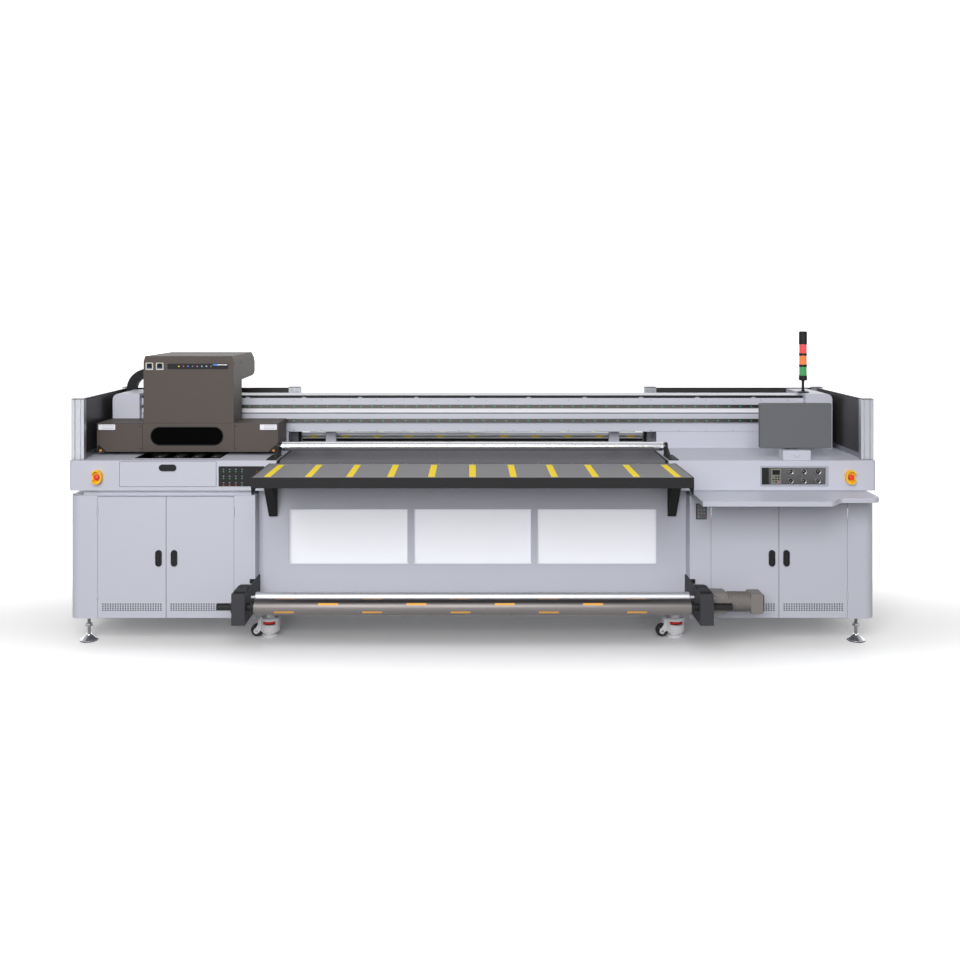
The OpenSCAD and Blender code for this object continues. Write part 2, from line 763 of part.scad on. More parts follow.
// Gearbox, motor and end block on the right front bracket.
module takeup_motor() color(brown) {
    block([cab_in + 70, motor_y - 58, 275], [1521, motor_y + 58, 397]);
    bar_x(1520, 1660, 59, motor_y, 334);
    block([1659, motor_y - 58, 276], [1740, motor_y + 58, 392]);
}

// Winding tube on its shaft.
module wind_shaft(y, x1) color("#7c7470") {
    bar_x(-1293, 1293, wind_r, y, wind_z);
    bar_x(-1515, x1, 21, y, wind_z);
}

module takeup_shaft() wind_shaft(-wind_y, 1539);

module unwind_shaft() wind_shaft(wind_y, 1515);

module takeup_guide_roller() color(paint) {
    bar_x(-1310, 1310, 30, -guide_y, guide_z);
    bar_x(-1415, 1415, 9, -guide_y, guide_z);
}

// ---------------------------------------------------------------- feet and castors

module levelling_feet() color(steel) both_x() both_y() translate([foot_x, foot_y, 0]) {
    rotate_extrude() polygon([[0, 0], [55, 0], [55, 6], [40, 16], [18, 41], [0, 41]]);
    cylinder(r = 10, h = cab_z0 + sheet);
    translate([0, 0, 96]) cylinder(r = 21.5, h = 12);
}

// Swivelling white housing with its red thumb wheel, levelling pad and the fork of the wheel.
module castor_body() {
    color("white") {
        bar_z(125, frame_z0 - 1, 30, 0, 0);
        bar_z(frame_z0 - 2, frame_z0 + 38, king_r, 0, 0);
        difference() {
            union() {
                bar_z(30, 125, 62, 0, 0);
                bar_z(0, 30, 48.5, 0, 0);
            }
            bar_y(-19, 19, 43, wheel_x, wheel_z);
            block([-63, -63, 88], [63, -42, 110]);
        }
        for (y = [-30, 24])
            front_profile(y, y + 6) union() {
                translate([wheel_x, wheel_z]) circle(r = 16);
                polygon([[wheel_x - 12, wheel_z + 10], [wheel_x + 14, wheel_z - 8], [-50, 60], [-40, 120],
                    [-70, 118]]);
            }
        bar_y(-30, 30, 5, wheel_x, wheel_z);
    }
    color("#d8443c") bar_z(91, 107, 50, 0, 0);
}

module castor_wheel() color(black) difference() {
    bar_y(-16, 16, 40, wheel_x, wheel_z);
    bar_y(-17, 17, 5 + run, wheel_x, wheel_z);
}

module at_castor(k) {
    translate([(k % 2 == 0 ? -1 : 1) * castor_x, (k < 2 ? -1 : 1) * castor_y, 0]) children();
}

// ---------------------------------------------------------------- inside the cabinets

// Ink tanks in the left cabinet and the electrical enclosure in the right one.
module cabinet_equipment() {
    color("#d8d8dc") for (i = [0:5])
        block([-2260 + 125 * i, -120, 248], [-2165 + 125 * i, 180, 490]);
    color(paint_dark) block([-2280, -200, 231], [-1500, 400, 248]);
    color(paint_dark) block([1560, 0, 231], [2240, 420, 840]);
}

base_frame();
left_cabinet_shell();
right_cabinet_shell();
left_deck_shell();
right_deck_shell();
centre_panels();
door_hinges();
control_panels();
regulator_panel();
operator_shelf();
monitor_stand();
stack_light_body();
stack_light_lenses();
estop_guards();
guard_posts();
guard_panels();
gantry_beam();
beam_end_covers();
linear_rails();
drive_belt();
chain_tray();
chain_lower_run();
capping_station();
belt_platform();
transport_belt();
media_tables();
table_brackets();
roller_brackets();
takeup_brackets();
takeup_motor();
levelling_feet();
cabinet_equipment();
left_outer_door();
left_inner_door();
right_inner_door();
right_outer_door();
service_drawer();
monitor_housing();
left_estop_button();
right_estop_button();
carriage_saddle();
head_cover();
print_heads();
chain_bend();
chain_upper_run();
front_drum();
rear_drum();
tension_roller();
rear_feed_roller();
takeup_shaft();
takeup_guide_roller();
unwind_shaft();
at_castor(0) castor_body();  // castor_body_1
at_castor(1) castor_body();  // castor_body_2
at_castor(2) castor_body();  // castor_body_3
at_castor(3) castor_body();  // castor_body_4
at_castor(0) castor_wheel();  // castor_wheel_1
at_castor(1) castor_wheel();  // castor_wheel_2
at_castor(2) castor_wheel();  // castor_wheel_3
at_castor(3) castor_wheel();  // castor_wheel_4
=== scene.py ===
import json
import math

import bmesh
import bpy
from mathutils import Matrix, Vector
from mathutils.geometry import tessellate_polygon


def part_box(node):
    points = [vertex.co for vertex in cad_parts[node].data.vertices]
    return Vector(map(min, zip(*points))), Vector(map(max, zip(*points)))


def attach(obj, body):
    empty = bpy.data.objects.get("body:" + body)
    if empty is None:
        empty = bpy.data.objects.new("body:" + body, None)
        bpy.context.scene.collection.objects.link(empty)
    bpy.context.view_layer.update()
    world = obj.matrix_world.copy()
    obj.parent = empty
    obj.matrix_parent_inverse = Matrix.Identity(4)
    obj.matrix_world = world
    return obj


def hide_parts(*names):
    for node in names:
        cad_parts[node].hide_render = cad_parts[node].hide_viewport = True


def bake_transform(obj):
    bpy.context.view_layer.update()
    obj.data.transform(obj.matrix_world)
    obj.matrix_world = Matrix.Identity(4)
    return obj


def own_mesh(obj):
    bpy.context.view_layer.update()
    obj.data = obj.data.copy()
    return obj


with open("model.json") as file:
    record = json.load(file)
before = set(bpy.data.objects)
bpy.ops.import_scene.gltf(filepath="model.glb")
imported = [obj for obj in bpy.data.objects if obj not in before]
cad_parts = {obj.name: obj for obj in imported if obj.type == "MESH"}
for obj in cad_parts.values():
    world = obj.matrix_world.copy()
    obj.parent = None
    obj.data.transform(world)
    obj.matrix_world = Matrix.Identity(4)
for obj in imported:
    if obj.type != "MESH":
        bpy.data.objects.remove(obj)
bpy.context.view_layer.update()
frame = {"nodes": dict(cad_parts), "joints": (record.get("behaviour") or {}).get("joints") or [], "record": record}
MM = 0.001


# ------------------------------------------------------------------ measures and outlines

def mm_box(node):
    """Lowest and highest corner of a CAD node, in millimetres."""
    lo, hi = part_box(node)
    return lo / MM, hi / MM


def middle(node):
    lo, hi = mm_box(node)
    return (lo + hi) / 2


def rounded(cx, cy, w, h, r, steps=6):
    """Outline of a rectangle with round corners."""
    r = min(r, w / 2 - 1e-4, h / 2 - 1e-4)
    points = []
    for k, (sx, sy) in enumerate([(1, 1), (-1, 1), (-1, -1), (1, -1)]):
        for i in range(steps + 1):
            a = math.pi / 2 * (k + i / steps)
            points.append((cx + sx * (w / 2 - r) + r * math.cos(a), cy + sy * (h / 2 - r) + r * math.sin(a)))
    return points


def frame_2d(x0, x1, z0, z1, r, steps, inset=0):
    """A rectangle with round corners from its low and high sides, drawn in by inset."""
    return rounded((x0 + x1) / 2, (z0 + z1) / 2, x1 - x0 - 2 * inset, z1 - z0 - 2 * inset, r, steps)


def polar(centre, r, a):
    """The point at radius r and angle a from a centre."""
    return centre[0] + r * math.cos(a), centre[1] + r * math.sin(a)


def circle(cx, cy, r, steps=32):
    return [polar((cx, cy), r, 2 * math.pi * i / steps) for i in range(steps)]


def star(cx, cy, tip, root, steps):
    """A ribbed circle whose points stand on two radii in turn."""
    return [polar((cx, cy), tip if i % 2 else root, 2 * math.pi * i / steps) for i in range(steps)]


def sector(centre, r0, r1, a0, a1, steps):
    """Part of a ring between two radii and two angles."""
    angles = [a0 + (a1 - a0) * i / steps for i in range(steps + 1)]
    return [polar(centre, r1, a) for a in angles] + [polar(centre, r0, a) for a in reversed(angles)]


def mirrored(half):
    """A profile of (radius, place) made whole by its mirror image, from its far low end to its high end."""
    return [(r, -t) for r, t in half] + [(r, t) for r, t in reversed(half)]


def on_side(s, a, b):
    """Two distances on side s of the middle, low one first."""
    return sorted((s * a, s * b))


def place(axis, u, v, t):
    """A point from two outline values and the distance along an axis."""
    return {"x": (t, u, v), "y": (u, t, v), "z": (u, v, t)}[axis]


# ------------------------------------------------------------------ building pieces

SHARP_FROM = math.radians(35)
ROUNDED_FROM = math.radians(40)


class Piece:
    """One mesh piece in millimetres. Faces go in by material number, and done() makes the object."""

    def __init__(self, name, *materials, body="machine", bevel=1.0, slot=None):
        self.name, self.body, self.materials = name, body, materials
        self.bevel, self.slot = bevel, slot
        self.bm = bmesh.new()

    def face(self, verts, mat):
        try:
            f = self.bm.faces.new(verts)
        except ValueError:
            return
        f.material_index = mat

    def box(self, lo, hi, mat=0):
        v = [self.bm.verts.new((x, y, z))
             for x in (lo[0], hi[0]) for y in (lo[1], hi[1]) for z in (lo[2], hi[2])]
        for q in ((0, 1, 3, 2), (4, 6, 7, 5), (0, 4, 5, 1), (2, 3, 7, 6), (0, 2, 6, 4), (1, 5, 7, 3)):
            self.face([v[i] for i in q], mat)
        return self

    def prism(self, axis, outline, a, b, mat=0, holes=()):
        """An outline pushed from a to b along an axis, with holes through it."""
        loops = [outline, *holes]
        flat = [p for loop in loops for p in loop]
        low = [self.bm.verts.new(place(axis, p[0], p[1], a)) for p in flat]
        high = [self.bm.verts.new(place(axis, p[0], p[1], b)) for p in flat]
        if holes:
            caps = tessellate_polygon([[Vector((p[0], p[1], 0)) for p in loop] for loop in loops])
        else:
            caps = [range(len(flat))]
        for cap in caps:
            self.face([low[i] for i in cap], mat)
            self.face([high[i] for i in reversed(cap)], mat)
        first = 0
        for loop in loops:
            n = len(loop)
            for i in range(n):
                j, k = first + i, first + (i + 1) % n
                self.face([low[j], low[k], high[k], high[j]], mat)
            first += n
        return self

    def lathe(self, axis, centre, profile, mat=0, steps=48, at=0, out=1):
        """A profile of (radius, way out from at along the axis) turned round the axis through centre."""
        rings = []
        for r, t in [(r, at + out * t) for r, t in profile]:
            if r < 1e-6:
                rings.append([self.bm.verts.new(place(axis, centre[0], centre[1], t))])
                continue
            rings.append([self.bm.verts.new(place(axis, *p, t)) for p in circle(*centre, r, steps)])
        for one, two in zip(rings, rings[1:]):
            for i in range(steps):
                j = (i + 1) % steps
                if len(one) == 1 and len(two) == 1:
                    continue
                if len(one) == 1:
                    self.face([one[0], two[i], two[j]], mat)
                elif len(two) == 1:
                    self.face([one[i], two[0], one[j]], mat)
                else:
                    self.face([one[i], two[i], two[j], one[j]], mat)
        return self

    def rod(self, axis, centre, r, a, b, mat=0, edge=0.0, steps=48):
        """A round bar with edges cut by a small chamfer."""
        e = min(edge, r * 0.9, (b - a) * 0.45)
        profile = [(0, a), (r - e, a), (r, a + e), (r, b - e), (r - e, b), (0, b)] if e else \
            [(0, a), (r, a), (r, b), (0, b)]
        return self.lathe(axis, centre, profile, mat, steps)

    def pipe(self, axis, centre, r_out, r_in, a, b, mat=0, steps=48):
        profile = [(r_in, a), (r_out, a), (r_out, b), (r_in, b), (r_in, a)]
        return self.lathe(axis, centre, profile, mat, steps)

    def done(self, stands_for=()):
        """Makes the object. Edges that turn by SHARP_FROM or more stay sharp."""
        bmesh.ops.remove_doubles(self.bm, verts=self.bm.verts, dist=0.002)
        bmesh.ops.recalc_face_normals(self.bm, faces=self.bm.faces)
        for f in self.bm.faces:
            f.smooth = True
        for e in self.bm.edges:
            e.smooth = len(e.link_faces) == 2 and e.calc_face_angle(0) < SHARP_FROM
        for v in self.bm.verts:
            v.co *= MM
        mesh = bpy.data.meshes.new(self.name)
        self.bm.to_mesh(mesh)
        self.bm.free()
        for m in self.materials:
            mesh.materials.append(m)
        obj = bpy.data.objects.new(self.name, mesh)
        bpy.context.scene.collection.objects.link(obj)
        if self.bevel:
            soften(obj, self.bevel)
        if self.body:
            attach(obj, self.body)
        if stands_for:
            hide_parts(*([stands_for] if isinstance(stands_for, str) else stands_for))
        return obj


def soften(obj, width):
    """Rounds the edges of an object by width millimetres and keeps its flat faces flat."""
    bevel = obj.modifiers.new("edge_round", "BEVEL")
    bevel.width = width * MM
    bevel.segments = 2
    bevel.limit_method = "ANGLE"
    bevel.angle_limit = ROUNDED_FROM
    bevel.use_clamp_overlap = True
    flat = obj.modifiers.new("flat_faces", "WEIGHTED_NORMAL")
    flat.mode = "FACE_AREA"
    flat.keep_sharp = not width


def dress(node, material, round_by=1.0):
    """Keeps a CAD node: gives it a material and rounds its edges a little."""
    obj = frame["nodes"][node]
    obj.data.materials.clear()
    obj.data.materials.append(material)
    stored = obj.data.attributes.get("custom_normal")
    if stored:
        obj.data.attributes.remove(stored)
    for p in obj.data.polygons:
        p.use_smooth = True
    weld = obj.modifiers.new("weld", "WELD")
    weld.merge_threshold = 0.00002
    soften(obj, round_by)
    return obj


# ------------------------------------------------------------------ materials

def tune(node, values):
    """Sets the inputs of a shader node, by name."""
    for name, value in values.items():
        node.inputs[name].default_value = value


def surface(name, colour, rough=0.45, metal=0.0, grain=900.0, bump=0.12, blotch=0.05, stretch=(1, 1, 1),
            coat=0.0, glow=None, glow_strength=0.0, rough_spread=0.08, specular=0.5):
    """A material with fine grain, slow colour drift and uneven gloss, all from noise in object space."""
    mat = bpy.data.materials.new(name)
    mat.use_nodes = True
    nodes, links = mat.node_tree.nodes, mat.node_tree.links
    shader = nodes["Principled BSDF"]
    tune(shader, {"Metallic": metal, "Specular IOR Level": specular})
    if coat:
        tune(shader, {"Coat Weight": coat, "Coat Roughness": 0.15})
    if glow:
        tune(shader, {"Emission Color": (*glow, 1), "Emission Strength": glow_strength})
    where = nodes.new("ShaderNodeTexCoord")
    shape = nodes.new("ShaderNodeMapping")
    tune(shape, {"Scale": stretch})
    links.new(where.outputs["Object"], shape.inputs["Vector"])
    drift = noise(nodes, links, where.outputs["Object"], 1.7, 3)
    mix = nodes.new("ShaderNodeMix")
    mix.data_type = "RGBA"
    tune(mix, {"A": (*[c * (1 - blotch) for c in colour], 1),
               "B": (*[min(1, c * (1 + blotch)) for c in colour], 1)})
    links.new(drift, mix.inputs["Factor"])
    links.new(mix.outputs["Result"], shader.inputs["Base Color"])
    fine = noise(nodes, links, shape.outputs["Vector"], grain, 2)
    gloss = nodes.new("ShaderNodeMapRange")
    tune(gloss, {"To Min": max(0.02, rough - rough_spread), "To Max": min(1, rough + rough_spread)})
    links.new(noise(nodes, links, shape.outputs["Vector"], grain * 0.07, 4), gloss.inputs["Value"])
    links.new(gloss.outputs["Result"], shader.inputs["Roughness"])
    relief = nodes.new("ShaderNodeBump")
    tune(relief, {"Strength": bump, "Distance": 0.0004})
    links.new(fine, relief.inputs["Height"])
    links.new(relief.outputs["Normal"], shader.inputs["Normal"])
    return mat


def noise(nodes, links, vector, scale, detail):
    """Output of a noise texture on a vector."""
    tex = nodes.new("ShaderNodeTexNoise")
    tune(tex, {"Scale": scale, "Detail": detail})
    links.new(vector, tex.inputs["Vector"])
    return tex.outputs["Fac"]


def paint(name, colour, rough=0.42, specular=0.4):
    """Powder coat with a fine orange peel."""
    return surface(name, colour, rough, grain=700, bump=0.1, blotch=0.025, specular=specular)


def metal(name, colour, rough, along="x", bump=0.1):
    """Brushed or turned metal, with its grain drawn out along one axis."""
    stretch = {"x": (0.03, 1, 1), "y": (1, 0.03, 1), "z": (1, 1, 0.03)}[along]
    return surface(name, colour, rough, 1.0, grain=900, bump=bump, blotch=0.04, stretch=stretch)


def plastic(name, colour, rough=0.5, specular=0.5):
    return surface(name, colour, rough, grain=1400, bump=0.15, blotch=0.04, specular=specular)


def lamp(name, colour, strength):
    """A small lit lens."""
    return surface(name, colour, 0.25, grain=300, bump=0.05, glow=colour, glow_strength=strength, coat=0.5)


def woven(name, colour, pitch):
    """Coated fabric belt: a fine crossed weave in its relief and colour."""
    mat = surface(name, colour, 0.6, grain=1200, bump=0.1, blotch=0.06)
    nodes, links = mat.node_tree.nodes, mat.node_tree.links
    where = nodes["Texture Coordinate"].outputs["Object"]
    waves = []
    for direction in ("X", "Y"):
        wave = nodes.new("ShaderNodeTexWave")
        wave.bands_direction = direction
        tune(wave, {"Scale": 1 / pitch, "Distortion": 0.4})
        links.new(where, wave.inputs["Vector"])
        waves.append(wave.outputs["Fac"])
    cross = nodes.new("ShaderNodeMath")
    cross.operation = "MULTIPLY"
    links.new(waves[0], cross.inputs[0])
    links.new(waves[1], cross.inputs[1])
    links.new(cross.outputs["Value"], nodes["Bump"].inputs["Height"])
    return mat


def tinted(name, colour, rough=0.08, see=0.35):
    """Smoke tinted acrylic sheet."""
    mat = surface(name, colour, rough, grain=60, bump=0.02, rough_spread=0.03)
    tune(mat.node_tree.nodes["Principled BSDF"], {"Transmission Weight": see, "Specular IOR Level": 0.25})
    return mat


LIGHT = paint("light_powder_coat", (0.54, 0.55, 0.625))
SHADE = paint("grey_powder_coat", (0.36, 0.37, 0.42))
BROWN = paint("brown_powder_coat", (0.078, 0.063, 0.055), 0.55, 0.3)
MOTOR_BROWN = paint("motor_enamel", (0.20, 0.182, 0.172), 0.45)
CHARCOAL = paint("charcoal_powder_coat", (0.020, 0.0195, 0.021), 0.65, 0.15)
BLACK = paint("black_powder_coat", (0.011, 0.011, 0.012), 0.5, 0.25)
BRACKET = paint("bracket_powder_coat", (0.045, 0.045, 0.051), 0.6, 0.2)
WHITE = paint("white_enamel", (0.88, 0.88, 0.91), 0.3)
ANODISED = metal("clear_anodised", (0.46, 0.47, 0.51), 0.42, "z")
RAIL = metal("dark_rail_steel", (0.10, 0.097, 0.09), 0.35, "x")
STEEL = metal("ground_steel", (0.42, 0.42, 0.44), 0.36, "x")
CHROME = metal("polished_chrome", (0.84, 0.85, 0.88), 0.22, "x", 0.02)
SLEEVE = metal("brown_sleeve", (0.165, 0.152, 0.15), 0.45, "x", 0.06)
ROLLER = metal("matt_roller", (0.74, 0.75, 0.79), 0.55, "x")
BLACK_PLASTIC = plastic("black_moulding", (0.012, 0.012, 0.014), 0.55, 0.22)
# Black for the head window, standing in for the shade inside it: painted shade.
SHADE_FILL_BLACK = surface("painted_shade_fill", (0.002, 0.002, 0.002), 0.9, specular=0.02)
GREY_PLASTIC = plastic("grey_moulding", (0.125, 0.131, 0.142), 0.5, 0.3)
DARK_METAL = metal("dark_backplate", (0.13, 0.13, 0.135), 0.45, "x")
KHAKI_PLASTIC = plastic("khaki_moulding", (0.20, 0.19, 0.155), 0.5, 0.3)
AMBER_FRAME = plastic("amber_frame", (0.15, 0.075, 0.035), 0.5, 0.2)
PALE_PLASTIC = plastic("pale_moulding", (0.60, 0.58, 0.50))
WHITE_PLASTIC = plastic("white_moulding", (0.80, 0.79, 0.84))
YELLOW = plastic("yellow_moulding", (0.90, 0.50, 0.01), 0.35)
RED = plastic("red_moulding", (0.80, 0.035, 0.02), 0.35)
RUBBER = plastic("black_rubber", (0.02, 0.02, 0.021), 0.75)
BELT = woven("woven_belt", (0.105, 0.105, 0.115), 0.004)
TABLE_TOP = plastic("grey_table_sheet", (0.185, 0.185, 0.195), 0.55, 0.2)
STRIPE = plastic("yellow_tape", (0.95, 0.70, 0.012), 0.6, 0.08)
ORANGE = plastic("orange_tape", (0.85, 0.42, 0.05), 0.5)
GLASS = tinted("smoke_acrylic", (0.040, 0.037, 0.038), 0.3, 0.06)
SCREEN = surface("dark_screen", (0.005, 0.006, 0.009), 0.3, grain=40, bump=0.02, specular=0.2)
# Painted light: the white window backing glows by itself, standing in for light falling on it.
SELF_LIT_BACKING = surface("self_lit_backing", (0.80, 0.81, 0.86), 0.5, grain=400, bump=0.04, blotch=0.01,
                 glow=(0.95, 0.96, 1.0), glow_strength=0.22)
DOT = {
    "green": lamp("green_lamp", (0.05, 0.30, 0.10), 0.12),
    "red": lamp("red_lamp", (0.55, 0.05, 0.04), 0.15),
    "amber": lamp("amber_lamp", (0.80, 0.36, 0.04), 0.15),
    "blue": lamp("blue_lamp", (0.04, 0.16, 0.60), 0.3),
    "sky": lamp("sky_lamp", (0.13, 0.30, 0.60), 0.2),
    "yellow": lamp("yellow_lamp", (0.60, 0.50, 0.05), 0.2),
    "pink": lamp("pink_lamp", (0.45, 0.16, 0.36), 0.2),
    "grey": lamp("grey_lamp", (0.13, 0.13, 0.15), 0.1),
    "pale": lamp("pale_lamp", (0.40, 0.42, 0.50), 0.1),
    "teal": lamp("teal_lamp", (0.03, 0.32, 0.24), 0.15),
}


# ------------------------------------------------------------------ camera, floor and light

EYE = (0, -6.79, 2.113)
BACKDROP = 40
BACKDROP_Y = 24


def studio():
    """Level camera in front of the machine, a pale floor with a painted shadow round the machine, and soft light.
    """
    camera = bpy.data.cameras.new("camera")
    camera.lens = 38.14
    camera.sensor_width = 36
    camera.shift_x = 0.0078
    camera.shift_y = -0.182
    camera.clip_end = 100
    eye = bpy.data.objects.new("camera", camera)
    eye.location = EYE
    eye.rotation_euler = (math.pi / 2, 0, 0)
    bpy.context.scene.collection.objects.link(eye)
    bpy.context.scene.camera = eye

    corners = ((-1, -1), (1, -1), (1, 1), (-1, 1))
    floor = sheet("floor", [(BACKDROP * u, BACKDROP * v, 0) for u, v in corners], 0)
    glow_round_painted_shadow(floor.data.materials[0])
    wall = ((-BACKDROP, -1), (BACKDROP, -1), (BACKDROP, 30), (-BACKDROP, 30))
    sheet("backdrop", [(x, BACKDROP_Y, z) for x, z in wall], 1.4)
    world = bpy.data.worlds.new("studio")
    world.use_nodes = True
    nodes, links = world.node_tree.nodes, world.node_tree.links
    sky = nodes["Background"]
    tune(sky, {"Color": (0.985, 0.985, 1.0, 1)})
    height = nodes.new("ShaderNodeSeparateXYZ")
    links.new(nodes.new("ShaderNodeTexCoord").outputs["Generated"], height.inputs["Vector"])
    strength = nodes.new("ShaderNodeMapRange")
    tune(strength, {"From Min": -0.1, "From Max": 0.1, "To Min": 0.12, "To Max": 0.46})
    links.new(height.outputs["Z"], strength.inputs["Value"])
    links.new(strength.outputs["Result"], sky.inputs["Strength"])
    bpy.context.scene.world = world
    for name, place_at, aim, size, watts in (
            ("front_softbox", (-1.2, -9.0, 5.0), (0, 0, 0.8), 5.5, 800),
            ("top", (0.5, 1.0, 7.0), (0, 0, 0.8), 6.0, 25)):
        light = bpy.data.lights.new(name, "AREA")
        light.size = size
        light.energy = watts
        obj = bpy.data.objects.new(name, light)
        obj.location = place_at
        obj.rotation_euler = (Vector(aim) - Vector(place_at)).to_track_quat("-Z", "Y").to_euler()
        bpy.context.scene.collection.objects.link(obj)
    bpy.context.scene.view_settings.view_transform = "Standard"


def sheet(name, corners, glow):
    """A plain pale sheet of the studio, which shines a little by itself."""
    mesh = bpy.data.meshes.new(name)
    mesh.from_pydata(corners, [], [(0, 1, 2, 3)])
    obj = bpy.data.objects.new(name, mesh)
    mesh.materials.append(surface("pale_" + name, (0.93, 0.93, 0.925), 0.6, grain=60, bump=0.01, blotch=0.004,
                                  specular=0.1, glow=(1.0, 1.0, 1.0), glow_strength=glow))
    obj.visible_diffuse = False
    bpy.context.scene.collection.objects.link(obj)
    return obj


def glow_round_painted_shadow(mat):
    """Lets the floor shine further out, and paints a shadow on it: the glow is dull in an oval around the machine.
    """
    nodes, links = mat.node_tree.nodes, mat.node_tree.links
    # Painted shadow: the floor glows less near the machine.
    shadow_oval = nodes.new("ShaderNodeMapping")
    tune(shadow_oval, {"Scale": (1 / 2.6, 1 / 0.6, 1)})
    links.new(nodes["Texture Coordinate"].outputs["Object"], shadow_oval.inputs["Vector"])
    reach = nodes.new("ShaderNodeVectorMath")
    reach.operation = "LENGTH"
    links.new(shadow_oval.outputs["Vector"], reach.inputs[0])
    strength = nodes.new("ShaderNodeMapRange")
    strength.interpolation_type = "SMOOTHSTEP"
    tune(strength, {"From Min": 0.6, "From Max": 2.4, "To Min": 0.03, "To Max": 0.6})
    links.new(reach.outputs["Value"], strength.inputs["Value"])
    links.new(strength.outputs["Result"], nodes["Principled BSDF"].inputs["Emission Strength"])


studio()


# ------------------------------------------------------------------ cabinets

FRONT = -490
HANDLE_X = {"left_outer_door": -1944, "left_inner_door": -1848,
            "right_inner_door": 1854, "right_outer_door": 1944}
BODY_OF = {n: body for body, members in frame["record"]["behaviour"]["bodies"].items() for n in members}
HINGE_X = {j["child"]: j["pos_m"][0] / MM for j in frame["joints"]
           if j["type"] == "hinge" and not j.get("continuous")}


def screw_head(piece, axis, centre, face, out, r=5, mat=0):
    """A low domed screw head; out is +1 or -1 along the axis."""
    piece.lathe(axis, centre, [(0, 2.6), (r * 0.6, 2.2), (r, 0.8), (r, -0.5)], mat, 16, face, out)


def screw_grid(piece, axis, us, vs, face, out, r, mat=0):
    """Screw heads at every pair of places from two lists."""
    for u in us:
        for v in vs:
            screw_head(piece, axis, (u, v), face, out, r, mat)


def screw_circle(piece, axis, centre, radius, count, start, face, out, r, mat):
    """Screw heads evenly round a centre, from the angle start on."""
    for k in range(count):
        screw_head(piece, axis, polar(centre, radius, start + 2 * math.pi * k / count), face, out, r, mat)


def vent_slots(x0, x1):
    """Outlines of the ventilation slots low in a door between x0 and x1."""
    cols, rows, pitch_x, pitch_z = 24, 4, 15.6, 12.6
    mid = (x0 + x1) / 2
    slots = []
    for i in range(cols):
        for k in range(rows):
            x = mid + (i - (cols - 1) / 2) * pitch_x
            slots.append(rounded(x, 224 + k * pitch_z, 9.5, 7.5, 1.5, 1))
    return slots


def pull_handle(name, body, x, z, w, h, y):
    """Flush stadium handle: a rim, a pocket and a grip bar in it."""
    piece = Piece(name, BLACK_PLASTIC, body=body, bevel=1.2, slot="black_plastic")
    r = min(w, h) / 2
    piece.prism("y", rounded(x, z, w, h, r, 10), y - 8, y, holes=[rounded(x, z, w - 11, h - 11, r - 5.5, 8)])
    piece.prism("y", rounded(x, z, w - 10, h - 10, r - 5, 8), y - 2.5, y - 0.2)
    if w > h:
        piece.box((x - w / 2 + 16, y - 7, z + h / 2 - 14), (x + w / 2 - 16, y - 2, z + h / 2 - 5))
    else:
        piece.box((x - 4.5, y - 7, z - h / 2 + 22), (x + 4.5, y - 2, z + h / 2 - 22))
    return piece.done()


def door(node):
    """Sheet metal door pan with vents, its hinge knuckles and its handle."""
    lo, hi = mm_box(node)
    body = BODY_OF[node]
    hinge = HINGE_X[body]
    low_side = hinge < (lo.x + hi.x) / 2
    x0, x1 = (hinge + 1.5, hi.x) if low_side else (lo.x, hinge - 1.5)
    z0, z1 = lo.z, hi.z
    back = FRONT + 20
    pan = Piece(node, LIGHT, body=body, bevel=0.8, slot="light_paint")
    pan.prism("y", frame_2d(x0, x1, z0, z1, 2, 3), FRONT, FRONT + 3,
              holes=vent_slots(x0, x1))
    for a, b, c, d in ((x0, x0 + 3, z0, z1), (x1 - 3, x1, z0, z1),
                       (x0, x1, z0, z0 + 3), (x0, x1, z1 - 3, z1)):
        pan.box((a, FRONT + 2.5, c), (b, back, d))
    for z in (z0 + 250, z0 + 500):
        pan.box((x0 + 3, FRONT + 3, z), (x1 - 3, FRONT + 15, z + 30))
    pan.done(stands_for=node)
    # Painted shade: black sheets behind the vent slots and in the gaps round the door.
    vent_gap_shade = Piece(node + "_vent_and_gap_shade", BLACK, body=body, bevel=0.4)
    vent_gap_shade.prism("y", rounded((x0 + x1) / 2, 243, x1 - x0 - 8, 62, 3, 3), FRONT + 5, FRONT + 6.5)
    for a, b, c, d in ((x0 - 1.2, x0 + 1, z0, z1), (x1 - 1, x1 + 1.2, z0, z1), (x0, x1, z0 - 1.5, z0 + 1),
                       (x0, x1, z1 - 1, z1 + 1.5)):
        vent_gap_shade.box((a, FRONT + 1.2, c), (b, FRONT + 8, d))
    vent_gap_shade.done()
    knuckles = Piece(node + "_knuckles", STEEL, body=body, bevel=0.4, slot="light_paint")
    for z in (290, 800):
        knuckles.pipe("z", (hinge, FRONT), 5, 2.6, z + 15.5, z + 44.5, steps=24)
    knuckles.done()
    pull_handle(node + "_handle", body, HANDLE_X[node], 547, 39, 101, FRONT)


def cover_plate(name, body, axis_y, x0, x1, z0, z1, slots_from, out):
    """Screwed access panel with a block of louvre slots; out is the side it faces along Y."""
    piece = Piece(name, LIGHT, BLACK, STEEL, body=body, bevel=0.8, slot="light_paint")
    holes = [rounded((x0 + x1) / 2 + 90 * k, slots_from + 22 * row, 70, 7, 3.5, 4)
             for row in range(8) for k in range(-2, 3)]
    piece.prism("y", frame_2d(x0, x1, z0, z1, 12, 5), axis_y + out * 1.2, axis_y + out * 3.5, holes=holes)
    # Painted shade: a black sheet under the plate darkens the louvre slots.
    piece.prism("y", frame_2d(x0, x1, z0, z1, 12, 5, 2), axis_y + out * 0.1, axis_y + out * 1.1, mat=1)
    screw_grid(piece, "y", (x0 + 14, x1 - 14), (z0 + 14, (z0 + z1) / 2, z1 - 14),
               axis_y + out * 3.5, out, 5, 2)
    piece.done()


def seam(name, body, boxes, material=BLACK):
    """Thin dark joint lines lying on a surface."""
    piece = Piece(name, material, body=body, bevel=0)
    for lo, hi in boxes:
        piece.box(lo, hi)
    piece.done()


